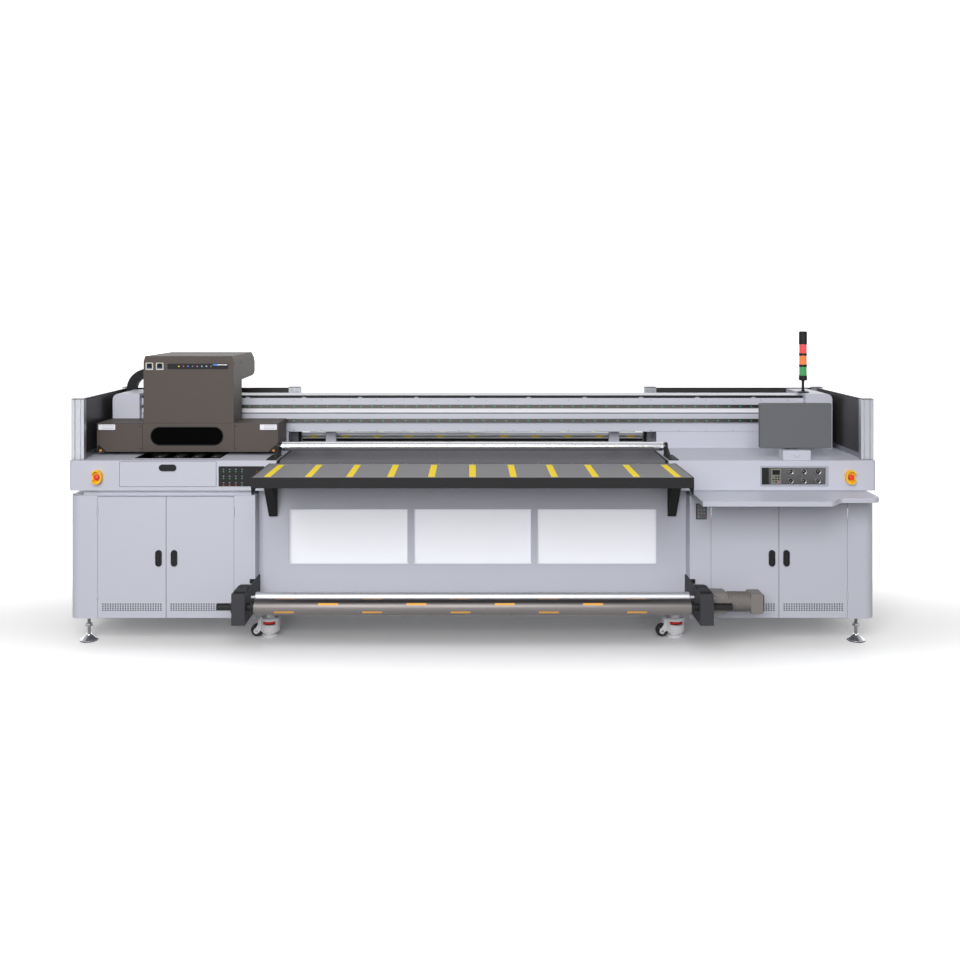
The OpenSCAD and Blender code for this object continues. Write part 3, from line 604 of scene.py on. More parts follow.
def cabinets():
    for side in ("left", "right"):
        dress(side + "_cabinet_shell", LIGHT, 1.5)
        dress(side + "_deck_shell", LIGHT, 2.0)
        s = -1 if side == "left" else 1
        x0, x1 = on_side(s, 1420, 2420)
        cover_plate(side + "_back_cover", "machine", -FRONT, x0, x1, 330, 900, 400, 1)
        lines = [((s * 2428 - 1, FRONT + 8, 1151.0), (s * 2428 + 1, 480, 1151.35))]
        seam(side + "_deck_seam", "machine", lines, SHADE)
    dress("door_hinges", STEEL, 0.3)
    dress("base_frame", SHADE, 2.0)
    for node in HANDLE_X:
        door(node)


SELF_LIT_WINDOW = (0, 656.5)


def centre():
    """Front and back walls, with the window, whose backing glows as painted light, and its slim posts."""
    lo, hi = mm_box("centre_panels")
    window = rounded(*SELF_LIT_WINDOW, 2320, 347, 10, 5)
    front = Piece("centre_front_panel", LIGHT, bevel=1.5, slot="light_paint")
    wall = [(lo.x, lo.z), (hi.x, lo.z), (hi.x, 964), (1285, 964),
            (1285, hi.z), (-1285, hi.z), (-1285, 964), (lo.x, 964)]
    front.prism("y", wall, lo.y, lo.y + 6, holes=[window])
    front.prism("y", rounded(*SELF_LIT_WINDOW, 2334, 361, 14, 5), lo.y - 1.5, lo.y + 1,
                holes=[rounded(*SELF_LIT_WINDOW, 2316, 343, 8, 5)])
    front.done(stands_for="centre_panels")
    back = Piece("centre_back_panel", LIGHT, STEEL, bevel=1.5, slot="light_paint")
    back.prism("y", wall, hi.y - 6, hi.y)
    screw_grid(back, "y", (-1300, -650, 0, 650, 1300), (220, 940), hi.y, 1, 7, 1)
    back.done()
    for k, x in enumerate((-670, 0, 670)):
        cover_plate(f"centre_back_cover_{k + 1}", "machine", hi.y, x - 300, x + 300, 300, 920, 480, 1)
    # The backing glows: painted light on the white panel behind the window.
    glow = Piece("window_self_lit_backing", SELF_LIT_BACKING, bevel=1, slot="light_paint")
    glow.prism("y", rounded(*SELF_LIT_WINDOW, 2350, 371, 10, 4), lo.y + 40, lo.y + 43).done()
    for k, x in enumerate((-390, 390)):
        post = Piece(f"window_post_{k + 1}", LIGHT, bevel=0.8, slot="light_paint")
        foot = [polar((x, 500), 21, math.pi * (1 + i / 12)) for i in range(1, 12)]
        outline = [(x - 21, 840), (x - 21, 500), *foot, (x + 21, 500), (x + 21, 840)]
        post.prism("y", outline, lo.y + 8, lo.y + 39).done()


# ------------------------------------------------------------------ panels on the decks

def indicator_panel():
    """Dark panel with three rows of small lamps over pale tick marks, and a small framed display."""
    x0, x1, z0, z1, face = mm_box("control_panels")[0].x, -1290, 992, 1116, FRONT - 4
    plate = Piece("indicator_panel", BLACK_PLASTIC, SHADE, AMBER_FRAME, SCREEN, bevel=0.6,
                  slot="black_plastic")
    plate.prism("y", frame_2d(x0, x1, z0, z1, 3, 3), face, FRONT)
    lamps = {"green": [], "red": []}
    for row, z in enumerate((1083, 1041, 1000)):
        for col in range(4):
            x = -1541.5 + 38.3 * col
            colour = "red" if row == 2 and col < 3 else "green"
            lamps[colour].append((x, z))
            plate.box((x - 5, face - 0.5, z + 13), (x + 5, face, z + 16), 1)
    screen = rounded(-1320, 1068, 34, 32, 1, 2)
    plate.prism("y", rounded(-1320, 1068, 40, 38, 2, 2), face - 1.2, face, 2, holes=[screen])
    plate.prism("y", screen, face - 0.5, face, 3).done(stands_for="control_panels")
    for colour, places in lamps.items():
        dots = Piece(f"indicator_lamps_{colour}", DOT[colour], bevel=0)
        for x, z in places:
            dots.lathe("y", (x, z), [(0, -2.6), (2.8, -2.2), (4.2, -0.8), (4.2, 0)], 0, 16, face)
        dots.done()


def jog_keypad():
    """Small keypad beside the right inner door, with coloured round keys."""
    x0, x1, z0, z1, face = 1384, 1450, 787, 885, FRONT - 4
    plate = Piece("jog_keypad", BLACK_PLASTIC, GREY_PLASTIC, bevel=0.8, slot="black_plastic")
    plate.prism("y", frame_2d(x0, x1, z0, z1, 4, 4), face, FRONT)
    plate.prism("y", frame_2d(x0, x1, z0, z1, 3, 3, 4), face - 0.6, face, 1).done()
    colours = ["green", "red", "sky", "pale", "pale", "pale", "amber", "pale", "pale", "pale", "green", "red"]
    by_colour = {}
    for k, colour in enumerate(colours):
        by_colour.setdefault(colour, []).append((1400 + 17 * (k % 3), 867 - 21 * (k // 3)))
    for colour, places in by_colour.items():
        keys = Piece(f"jog_keys_{colour}", DOT[colour], bevel=0)
        for x, z in places:
            keys.lathe("y", (x, z), [(0, -2.4), (2.4, -2.1), (3.4, -1.2), (3.4, -0.5)], 0, 20, face)
        keys.done()


def gauge(piece, x, z, face, reading, big=False):
    """Round gauge: chrome bezel, dark dial with tick marks, a needle."""
    r = 19.5 if big else 17.5
    bezel = [(0, 0), (r, 0), (r, -6), (r - 1.5, -8), (r - 3.5, -7), (r - 3.5, -4), (0, -4)]
    piece.lathe("y", (x, z), bezel, 0, 40, face)
    dial = [(0, -4.4), (r - 3.6, -4.4), (r - 3.6, -3.9), (0, -3.9)]
    piece.lathe("y", (x, z), dial, 3 if big else 1, 32, face)
    for k in range(9):
        a = math.radians(225 - 33.75 * k)
        u, v = math.cos(a), math.sin(a)
        cx, cz = x + u * (r - 6), z + v * (r - 6)
        tick = [(cx + v * side + u * along, cz - u * side + v * along)
                for side, along in ((-0.5, -1.6), (-0.5, 1.6), (0.5, 1.6), (0.5, -1.6))]
        piece.prism("y", tick, face - 4.8, face - 4.3, 2)
    a = math.radians(reading)
    u, v = math.cos(a), math.sin(a)
    needle = [(x - v * 1.1, z + u * 1.1), (x + u * (r - 7), z + v * (r - 7)),
              (x + v * 1.1, z - u * 1.1), (x - u * 3, z - v * 3)]
    piece.prism("y", needle, face - 5.4, face - 4.8, 2)


def regulator_window():
    """Recessed window with a bevelled frame, a pale keypad with a dark screen, and six gauges."""
    face = FRONT
    rim = Piece("regulator_frame", SHADE, LIGHT, bevel=1.5, slot="shade_paint")
    rim.prism("y", rounded(1993.5, 1054.5, 421, 125, 3, 3), face - 3, face,
              holes=[rounded(1989, 1055, 396, 104, 2, 2)])
    rim.done(stands_for="regulator_panel")
    back = Piece("regulator_backplate", DARK_METAL, BLACK, bevel=0.6)
    back.box((1791, face + 4, 1003), (2187, face + 8, 1107), 0)
    back.box((1791, face - 2, 1003), (1835, face + 5, 1107), 1).done()
    pad = Piece("regulator_keypad", KHAKI_PLASTIC, SCREEN, BLACK_PLASTIC, bevel=0.8,
                slot="shade_paint")
    pad.prism("y", rounded(1879, 1054, 62, 96, 5, 4), face - 3, face + 4)
    pad.prism("y", rounded(1880, 1078, 46, 30, 2, 2), face - 3.8, face - 2.9, 1)
    for col in range(3):
        for row in range(3):
            pad.prism("y", rounded(1863 + 16 * col, 1050 - 15 * row, 11, 9, 2, 2), face - 4.5, face - 3, 2)
    pad.done()
    for colour, x, z in (("teal", 1863, 1050), ("green", 1863, 1020), ("pink", 1895, 1020)):
        key = Piece(f"regulator_key_{colour}", DOT[colour], bevel=0.3)
        key.prism("y", rounded(x, z, 9, 7, 2, 3), face - 5.2, face - 4.3).done()
    dials = Piece("regulator_gauges", STEEL, SCREEN, PALE_PLASTIC, BLACK, bevel=0)
    for col, x in enumerate((1971, 2052, 2139)):
        for row, z in enumerate((1083, 1026)):
            gauge(dials, x, z, face + 4, 200 - 60 * col + 35 * row, big=(col == 2 and row == 0))
    dials.done()


def stop_buttons():
    """Yellow collars open at their outer sides, and red mushroom buttons."""
    for side, s, x in (("left", -1, -2322), ("right", 1, 2338)):
        z = 1051
        collar = Piece(f"{side}_stop_collar", YELLOW, bevel=1.5, slot="yellow_plastic")
        collar.prism("y", rounded(x, z, 66, 87, 33, 12), FRONT - 8, FRONT, holes=[circle(x, z, 8.5, 24)])
        gap = math.radians(22)
        outer, inner = [], []
        for i in range(41):
            a = gap + (2 * math.pi - 2 * gap) * i / 40
            u, v = s * math.cos(a), math.sin(a)
            lift = 10.5 * (1 if v > 0 else -1) * min(1, abs(v) * 1.6)
            outer.append((x + 33 * u, z + 33 * v + lift))
            inner.append((x + 25 * u, z + 25 * v + lift))
        collar.prism("y", outer + inner[::-1], FRONT - 32, FRONT - 7.5)
        collar.done(stands_for="estop_guards" if side == "left" else ())
        knob = Piece(f"{side}_stop_button", RED, body=f"{side}_stop", bevel=0, slot="red_plastic")
        mushroom = [(0, -34), (9, -33.4), (15, -31), (18, -26), (18, -20), (16, -17), (8, -16), (8, -6),
                    (0, -6)]
        knob.lathe("y", (x, z), mushroom, 0, 40, FRONT)
        for k in range(3):
            dimple = polar((x, z), 10, 2 * math.pi * k / 3 + 0.5)
            knob.prism("y", circle(*dimple, 2.2, 8), FRONT - 33.9, FRONT - 31)
        knob.done(stands_for=f"{side}_estop_button")


def service_drawer():
    """Drawer front with its cup handle, and the box behind it."""
    lo, hi = mm_box("service_drawer")
    front = Piece("drawer_front", LIGHT, body="drawer", bevel=1.2, slot="light_paint")
    front.prism("y", frame_2d(lo.x, hi.x, lo.z, hi.z, 2, 3), FRONT - 1, FRONT + 3)
    front.done(stands_for="service_drawer")
    box = Piece("drawer_box", SHADE, body="drawer", bevel=0.8, slot="light_paint")
    x0, x1, z0, z1 = lo.x + 20, hi.x - 20, lo.z + 8, 1090
    box.box((x0, FRONT + 3, z0), (x1, hi.y, z0 + 4))
    box.box((x0, FRONT + 3, z0), (x1, FRONT + 7, z1))
    box.box((x0, hi.y - 4, z0), (x1, hi.y, z1))
    box.box((x0, FRONT + 3, z0), (x0 + 4, hi.y, z1))
    box.box((x1 - 4, FRONT + 3, z0), (x1, hi.y, z1)).done()
    pull_handle("drawer_handle", "drawer", (lo.x + hi.x) / 2, 1107, 107, 40, FRONT - 1)


# ------------------------------------------------------------------ computer and stack light

TILT_AXIS = (-385, 1245)


def computer():
    """Flat grey housing on a white stand with a small arrow groove."""
    lo, hi = mm_box("monitor_housing")
    x0, x1, z0, z1 = lo.x, hi.x, lo.z, hi.z
    shell = Piece("computer_housing", GREY_PLASTIC, body="monitor", bevel=4, slot="grey_shell")
    shell.prism("y", frame_2d(x0, x1, z0, z1, 6, 5), -440, -402).done(stands_for="monitor_housing")
    trim = Piece("computer_details", BLACK_PLASTIC, STEEL, body="monitor", bevel=0.5)
    louvres = [rounded((x0 + x1) / 2 + dx * 26, 1400 + 12 * k, 18, 4, 2, 3)
               for k in range(5) for dx in range(-5, 6)]
    trim.prism("y", frame_2d(x0, x1, z0, z1, 6, 4, 30), -402, -399.5, holes=louvres)
    for k, x in enumerate((x0 + 50, x0 + 75, x0 + 100, x0 + 140)):
        trim.box((x, -430, z0 - 1.5), (x + 14, -418, z0 + 1), 1 if k < 3 else 0)
    screw_grid(trim, "y", (x0 + 14, x1 - 14), (z0 + 14, z1 - 14), -402, 1, 4, 1)
    mid = 2012
    trim.pipe("x", TILT_AXIS, 11, 6.2, mid - 21, mid + 21, 1, 32)
    trim.box((mid - 21, -403, 1236), (mid + 21, -394, 1254), 1).done()
    lo, hi = mm_box("monitor_stand")
    x0, x1 = lo.x, hi.x
    stand = Piece("computer_stand", LIGHT, bevel=2.5, slot="light_paint")
    stand.box((x0, lo.y, lo.z), (x1, -396, 1212))
    stand.box((mid - 60, -397, lo.z), (mid + 60, hi.y, 1215)).done(stands_for="monitor_stand")
    arms = Piece("computer_stand_arms", STEEL, bevel=1, slot="light_paint")
    for x in (mid - 42, mid + 22):
        eye = [polar(TILT_AXIS, 14, math.pi * i / 12) for i in range(13)]
        arms.prism("x", [(-397, 1214), (-371, 1214), *eye], x, x + 20)
    arms.rod("x", TILT_AXIS, 6, mid - 46, mid + 46, 0, 1).done()
    arrow = Piece("stand_arrow", SHADE, bevel=0)
    for s in (-1, 1):
        arrow.prism("y", [(mid, 1165), (mid + s * 22, 1183), (mid + s * 22, 1187), (mid, 1170)],
                    lo.y - 0.6, lo.y + 0.3)
    arrow.done()


def stack_light():
    """Three lit lenses between black rings on a pole."""
    c = middle("stack_light_body")
    at = (c.x, c.y)
    body = Piece("stack_light_body_shell", BLACK_PLASTIC, STEEL, bevel=0, slot="black_plastic")
    body.lathe("z", at, [(0, 1520), (39.5, 1520), (39.5, 1525), (36, 1528), (14, 1530), (11, 1538),
                         (8.5, 1540), (8.5, 1600), (20, 1604), (27, 1606), (27, 1636), (0, 1636)])
    for z0, z1 in ((1696, 1711), (1772, 1787)):
        body.lathe("z", at, [(0, z0), (26.4, z0), (27, z0 + 1.5), (27, z1 - 1.5), (26.4, z1), (0, z1)], 0)
    body.lathe("z", at, [(0, 1848), (26.4, 1848), (27, 1850), (27, 1930), (24, 1936), (0, 1937)], 0)
    screw_circle(body, "z", at, 30, 3, 0, 1527.5, 1, 4, 1)
    body.done(stands_for="stack_light_body")
    lenses = (("green", 1636, (0.06, 0.36, 0.11)), ("amber", 1711, (0.90, 0.25, 0.06)),
              ("red", 1787, (0.88, 0.09, 0.095)))
    for k, (colour, z0, tint) in enumerate(lenses):
        lens = Piece(f"stack_lens_{colour}", lamp(f"stack_{colour}", tint, 0.12), bevel=0,
                     slot="lens_plastic")
        profile = [(0, z0), (25.2, z0)]
        ribs = 14
        for i in range(ribs):
            z = z0 + 2 + 57 * i / ribs
            profile += [(25.4, z), (26.4, z + 1.4), (25.4, z + 2.8)]
        lens.lathe("z", at, profile + [(25.2, z0 + 61), (0, z0 + 61)], 0)
        lens.done(stands_for="stack_light_lenses" if k == 0 else ())


# ------------------------------------------------------------------ guards and beam

def guards():
    """Grooved posts with end caps, sill rails and smoked panels with a dark top edge."""
    post = Piece("guard_post_profiles", ANODISED, BLACK_PLASTIC, bevel=0.8, slot="anodised")
    for s in (-1, 1):
        for x0, x1, y0, y1 in ((2415, 2493, -470, -430), (2415, 2493, 450, 489), (1224, 1309, 450, 489)):
            w, d = x1 - x0, y1 - y0
            front = [(x0, y0)]
            for near, far, deep in ((0.2, 0.3, 6), (0.66, 0.74, 8)):
                front += [(x0 + near * w, y0), (x0 + near * w, y0 + deep),
                          (x0 + far * w, y0 + deep), (x0 + far * w, y0)]
            front += [(x1, y0), (x1, y0 + d * 0.4), (x1 - 6, y0 + d * 0.4), (x1 - 6, y0 + d * 0.6),
                      (x1, y0 + d * 0.6), (x1, y1), (x0, y1)]
            cap = ((x0, y0), (x1, y0), (x1, y1), (x0, y1))
            post.prism("z", [(s * x, y) for x, y in front], 1151.5, 1528)
            post.prism("z", [(s * x, y) for x, y in cap], 1528.2, 1531, 1)
        for a, b, y0, y1 in ((2440, 2470, -429, 449), (1310, 2414, 456, 486)):
            x0, x1 = on_side(s, a, b)
            post.box((x0, y0, 1151.5), (x1, y1, 1181))
    post.done(stands_for="guard_posts")
    pane = Piece("guard_sheets", GLASS, BLACK, bevel=0.6, slot="tinted_panel")
    for s in (-1, 1):
        x0, x1 = on_side(s, 2451, 2459)
        pane.box((x0, -430, 1181), (x1, 450, 1519))
        pane.box((x0 - 1, -430, 1519), (x1 + 1, 450, 1525), 1)
        x0, x1 = on_side(s, 1309, 2415)
        pane.box((x0, 466, 1181), (x1, 474, 1519))
        pane.box((x0, 465, 1519), (x1, 475, 1525), 1)
    pane.done(stands_for="guard_panels")


def beam():
    """The beam with its slot, clips, rails, plugs and toothed belt."""
    dress("gantry_beam", LIGHT, 1.5)
    dress("beam_end_covers", LIGHT, 6)
    slot = Piece("beam_slot_vent_and_gap_shade", BLACK, bevel=0)
    slot.box((-2230, 74.2, 1487.2), (2230, 74.9, 1504.8)).done()
    clips = Piece("beam_slot_clips", SHADE, bevel=0.6, slot="white_plastic")
    for k in range(11):
        x = -1895 + 379 * k
        clips.prism("y", [(x - 15, 1487), (x + 15, 1487), (x + 15, 1492), (x + 6, 1495), (x - 6, 1495),
                          (x - 15, 1492)], 69.6, 74.5)
    clips.done()
    rails = Piece("rail_bars", RAIL, bevel=0.5, slot="charcoal_paint")
    plugs = Piece("rail_plugs", plastic("green_plug", (0.035, 0.33, 0.21)), bevel=0)
    for z0, z1 in ((1326, 1348), (1423, 1443)):
        m = (z0 + z1) / 2
        section = [(50, z0), (56, z0), (59, m - 4), (64, z0), (70, z0), (70, z1), (64, z1), (59, m + 4),
                   (56, z1), (50, z1)]
        rails.prism("x", section, -2225, 2225)
        for k in range(59):
            plugs.lathe("y", (-2175 + 75 * k, m), [(0, 49.3), (4.2, 49.3), (5, 49.7), (5, 50.2)], 0, 16)
    rails.done(stands_for="linear_rails")
    plugs.done()
    belt = Piece("toothed_belt", WHITE_PLASTIC, bevel=0, slot="white_belt")
    teeth = [(-2225, 62)]
    for k in range(445):
        x = -2225 + 10 * k
        teeth += [(x + 1, 65), (x + 5, 65), (x + 6, 63.4), (x + 9.9, 63.4)]
    belt.prism("z", teeth + [(2225, 63.4), (2225, 62)], 1390, 1421).done(stands_for="drive_belt")
    line = Piece("belt_shadow_line", BLACK, bevel=0)
    line.box((-2225, 67, 1384), (2225, 69.9, 1389)).done()
    fixings = Piece("beam_screws", STEEL, bevel=0)
    for k in range(24):
        x = -2127 + 185 * k
        for z in (1270, 1474):
            screw_head(fixings, "y", (x, z), 70, -1, 4.5)
    for s in (-1, 1):
        screw_grid(fixings, "x", (46, 352 if s < 0 else 426), (1180, 1340, 1490), s * 2412, s, 5)
    fixings.done()


# ------------------------------------------------------------------ carriage

FACE = -263
HEAD_SPAN = (-2112, -1533)
COVER_SPAN = (-2410, -1248)
HEAD_WINDOW = (-1833, 1273)


def carriage():
    dress("carriage_saddle", ANODISED, 1.0)
    cover = dress("head_cover", BROWN, 4)
    cover.modifiers["edge_round"].segments = 3
    lines = Piece("head_seams_and_shadow_lines", BLACK, body="carriage", bevel=0)
    for x in (HEAD_SPAN[0] - 5, HEAD_SPAN[1] + 5):
        lines.box((x - 1.2, FACE - 0.4, 1173), (x + 1.2, FACE + 0.5, 1352))
    # The lines under the head box are joints, drawn dark as painted shadow.
    lines.box((COVER_SPAN[0] + 5, FACE - 0.4, 1355), (HEAD_SPAN[0], FACE + 0.5, 1357))
    lines.box((HEAD_SPAN[0] + 6, FACE - 0.4, 1355.2), (HEAD_SPAN[1] - 6, FACE + 0.5, 1356.6)).done()
    rim = Piece("head_window_rim", CHARCOAL, body="carriage", bevel=0.6)
    rim.prism("y", rounded(*HEAD_WINDOW, 470, 122, 61, 14), FACE - 1.2, FACE + 0.4,
              holes=[rounded(*HEAD_WINDOW, 458, 110, 55, 14)])
    rim.done()
    # Painted shade: a black sheet and ring fill the head window, where only shade is, and hide the heads.
    shade_fill = Piece("head_window_shade_fill", SHADE_FILL_BLACK, body="carriage", bevel=0.5)
    shade_fill.prism("y", rounded(*HEAD_WINDOW, 486, 138, 60, 8), FACE + 8, FACE + 11)
    shade_fill.prism("y", rounded(*HEAD_WINDOW, 440, 92, 46, 8), FACE + 7.2, FACE + 8.2,
                holes=[rounded(*HEAD_WINDOW, 432, 84, 42, 8)])
    shade_fill.done()
    head_screws()
    displays()
    status_bar()
    bumpers()


def head_screws():
    screws = Piece("head_screws", BLACK, STEEL, body="carriage", bevel=0)
    screw_grid(screws, "y", (-2130, -1520), (1192, 1338), FACE, -1, 4)
    for x in HEAD_SPAN:
        out = -1 if x == HEAD_SPAN[0] else 1
        for y in (-235, -60, 240):
            screw_head(screws, "x", (y, 1735), x, out, 4)
        for y in (-235, -60):
            screw_head(screws, "x", (y, 1400), x, out, 4)
    screws.done()
    plates = Piece("head_plates", WHITE_PLASTIC, SHADE, body="carriage", bevel=0.3, slot="white_plastic")
    for x in (-2347, -1310):
        plates.prism("y", rounded(x, 1331, 108, 34, 3, 3), FACE - 0.7, FACE + 0.1)
        for z in (1322, 1331, 1340):
            plates.prism("y", rounded(x + 8, z, 76, 3, 1, 2), FACE - 1.0, FACE - 0.5, 1)
    plates.done()


def displays():
    """Two small square displays in light frames, each with a blue line low on it."""
    glow = Piece("head_display_lines", DOT["blue"], body="carriage", bevel=0)
    box = Piece("head_displays", PALE_PLASTIC, SCREEN, STEEL, body="carriage", bevel=0.6)
    for x in (-2072, -2006):
        box.prism("y", rounded(x, 1721.5, 48, 47, 4, 4), FACE - 6, FACE + 0.2,
                  holes=[rounded(x, 1723, 35, 34, 2, 3)])
        box.prism("y", rounded(x, 1723, 36, 35, 2, 3), FACE - 3.4, FACE - 0.2, 1)
        box.box((x - 9, FACE - 6.6, 1700), (x + 9, FACE - 5.8, 1702.4), 2)
        glow.box((x - 14, FACE - 3.9, 1709), (x + 14, FACE - 3.3, 1711.5))
    box.done()
    glow.done()


def status_bar():
    """Dark bar with eight small lamps and a silver tube with a blue end."""
    bar = Piece("head_status_bar", BLACK_PLASTIC, STEEL, body="carriage", bevel=0.8)
    bar.prism("y", rounded(-1762.5, 1721.5, 387, 33, 4, 4), FACE - 5, FACE + 0.2)
    bar.rod("x", (FACE - 5, 1731), 5, -1638, -1572, 1, 1, 24).done()
    for k, colour in enumerate(("yellow", "red", "blue", "grey", "pink", "sky", "pale", "grey")):
        dot = Piece(f"head_dot_{k + 1}", DOT[colour], body="carriage", bevel=0)
        lens = [(0, -6.6), (2.8, -6.3), (4.6, -5.4), (4.6, -4.5)]
        dot.lathe("y", (-1883 + 29.5 * k, 1721.5), lens, 0, 20, FACE).done()
    end = Piece("head_tube_end", DOT["blue"], body="carriage", bevel=0)
    end.rod("x", (FACE - 5, 1731), 5.6, -1664, -1637, 0, 1, 24).done()


def bumpers():
    """Amber buffers low on both ends of the wide cover, each over a dark corner patch."""
    patch = Piece("bumper_patches", BLACK, body="carriage", bevel=0.3)
    rubber = plastic("amber_rubber", (0.85, 0.33, 0.02), 0.4)
    buffer = Piece("bumper_buffers", rubber, body="carriage", bevel=0)
    for x, s in ((-2384, 1), (-1275, -1)):
        corner = ((-24, 1174), (30, 1174), (30, 1179), (-8, 1214), (-24, 1214))
        patch.prism("y", [(x + s * u, z) for u, z in corner], FACE - 1, FACE + 0.2)
        dome = [(0, -14.6), (5, -14.2), (8.7, -11.5), (8.7, -3), (8.2, 0)]
        buffer.lathe("y", (x, 1182), dome, 0, 28, FACE)
    patch.done()
    buffer.done()


def print_heads():
    """Eight head bodies in a plate, with nozzle plates, ink ports and a lamp at each end."""
    plate = Piece("head_plate", STEEL, BLACK, body="heads", bevel=0.8, slot="black_paint")
    slots = [rounded(-2021 + 52 * i, -155, 39, 111, 1, 1) for i in range(8)]
    plate.prism("z", rounded(-1829, -155, 1102, 180, 6, 3), 1218, 1228, 0, holes=slots)
    plate.done(stands_for="print_heads")
    bodies = Piece("head_bodies", CHARCOAL, STEEL, GREY_PLASTIC, body="heads", bevel=1.0)
    for i in range(8):
        x = -2021 + 52 * i
        bodies.box((x - 19, -210, 1174), (x + 19, -100, 1262))
        bodies.box((x - 16, -205, 1166), (x + 16, -105, 1174.5), 1)
        for k in range(4):
            bodies.rod("z", (x, -195 + 27 * k), 4, 1261, 1270, 2, 0.5, 16)
    bodies.done()
    lamps = Piece("curing_lamps", BLACK, SCREEN, STEEL, body="heads", bevel=1.5)
    for x in (-2375, -1463):
        lamps.box((x, -235, 1172), (x + 180, -75, 1217.5))
        lamps.box((x + 14, -222, 1168), (x + 166, -88, 1172.5), 1)
        for k in range(11):
            lamps.box((x + 8 + 15 * k, -237, 1180), (x + 12 + 15 * k, -234.5, 1212), 0)
    lamps.done()


# ------------------------------------------------------------------ cable chain

CHAIN_Y = (386, 446)
CHAIN_SIDES = ((CHAIN_Y[0] + 0.5, CHAIN_Y[0] + 6), (CHAIN_Y[1] - 6, CHAIN_Y[1] - 0.5))
CHAIN_X = -2291
CHAIN_Z = 1516
CHAIN_IN = 88
CHAIN_OUT = 151
CHAIN_MEAN = (CHAIN_IN + CHAIN_OUT) / 2
LINK_GAP = 1.6


def straight_link(piece, x, z, length):
    """One closed link of a straight run: two side plates, two lids and a pin head on each side."""
    half = (CHAIN_OUT - CHAIN_IN) / 2
    side = rounded(x, z, length - LINK_GAP, 2 * half, 5, 3)
    lid = length - LINK_GAP - 6
    for y0, y1 in CHAIN_SIDES:
        piece.prism("y", side, y0, y1)
    for v in (half - 2.5, 2.5 - half):
        piece.prism("y", rounded(x, z + v, lid, 4, 1, 1), CHAIN_Y[0] + 5, CHAIN_Y[1] - 5)
    for y, out in ((CHAIN_Y[0] + 0.5, -1), (CHAIN_Y[1] - 0.5, 1)):
        screw_head(piece, "y", (x - length * 0.3, z), y - out * 2.4, out, 5)


def bent_link(piece, a0, a1):
    """One closed link of the bend, as a sector between two angles."""
    centre = (CHAIN_X, CHAIN_Z)
    for y0, y1 in CHAIN_SIDES:
        piece.prism("y", sector(centre, CHAIN_IN, CHAIN_OUT, a0, a1, 4), y0, y1)
    for r0, r1 in ((CHAIN_IN + 0.5, CHAIN_IN + 4.5), (CHAIN_OUT - 4.5, CHAIN_OUT - 0.5)):
        piece.prism("y", sector(centre, r0, r1, a0, a1, 4), CHAIN_Y[0] + 5, CHAIN_Y[1] - 5)


def cable_chain():
    bend = Piece("chain_bend_links", BLACK_PLASTIC, body="chain", bevel=0.8, slot="black_plastic")
    count = 14
    gap = LINK_GAP / CHAIN_MEAN / 2
    for k in range(count):
        start = math.pi / 2 + math.pi * k / count
        bent_link(bend, start + gap, start + math.pi / count - gap)
    bend.done(stands_for="chain_bend")
    top = Piece("chain_upper_links", BLACK_PLASTIC, body=None, bevel=0.6, slot="black_plastic")
    count = 21
    pitch = (-1730 - CHAIN_X) / count
    for k in range(count):
        straight_link(top, CHAIN_X + pitch * (k + 0.5), CHAIN_Z + CHAIN_MEAN, pitch)
    upper = top.done(stands_for="chain_upper_run")
    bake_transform(upper)
    low = Piece("chain_lower_links", BLACK_PLASTIC, bevel=0.6, slot="black_plastic")
    count = 56
    pitch = (60 - CHAIN_X) / count
    for k in range(count):
        straight_link(low, CHAIN_X + pitch * (k + 0.5), CHAIN_Z - CHAIN_MEAN, pitch)
    lower = low.done(stands_for="chain_lower_run")
    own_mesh(lower)
    dress("chain_tray", ANODISED, 0.6)


# ------------------------------------------------------------------ bed

BELT_TOP = 1148
DRUM_Y = 430
DRUM_Z = 1098


def bed():
    dress("transport_belt", BELT, 0.3)
    dress("belt_platform", CHARCOAL, 1.0)
    for node in ("front_drum", "rear_drum"):
        dress(node, STEEL, 0.6)
    fittings = Piece("platform_fittings", STEEL, BLACK, bevel=0.6)
    for s in (-1, 1):
        face = s * 1214
        for y in (-DRUM_Y, DRUM_Y):
            flange = [(15.6, -1), (30, 0), (30, 1.4), (27, 2), (15.6, 2)]
            fittings.lathe("x", (y, DRUM_Z), flange, 0, 40, face, s)
            screw_circle(fittings, "x", (y, DRUM_Z), 23, 4, math.pi / 4, face, s, 3.2, 1)
        screw_grid(fittings, "x", (-340, -170, 0, 170, 340), (1052, 1130), face, s, 4.5, 1)
    fittings.done()
    # Painted shade: screwed black bars fill the gaps between the belt and the tables, where shade falls.
    gap = Piece("belt_gap_shade_bars", BLACK, STEEL, bevel=0.8)
    for s in (-1, 1):
        y0, y1 = on_side(s, 588, 484)
        gap.box((-1199, y0, 1090), (1199, y1, 1094))
        for k in range(9):
            screw_head(gap, "z", (-1160 + 290 * k, s * 575), 1094, 1, 4, 1)
    gap.done()
    rollers()
    capping()


NIP = (-322, 1216)
FEED = (380, 1201)


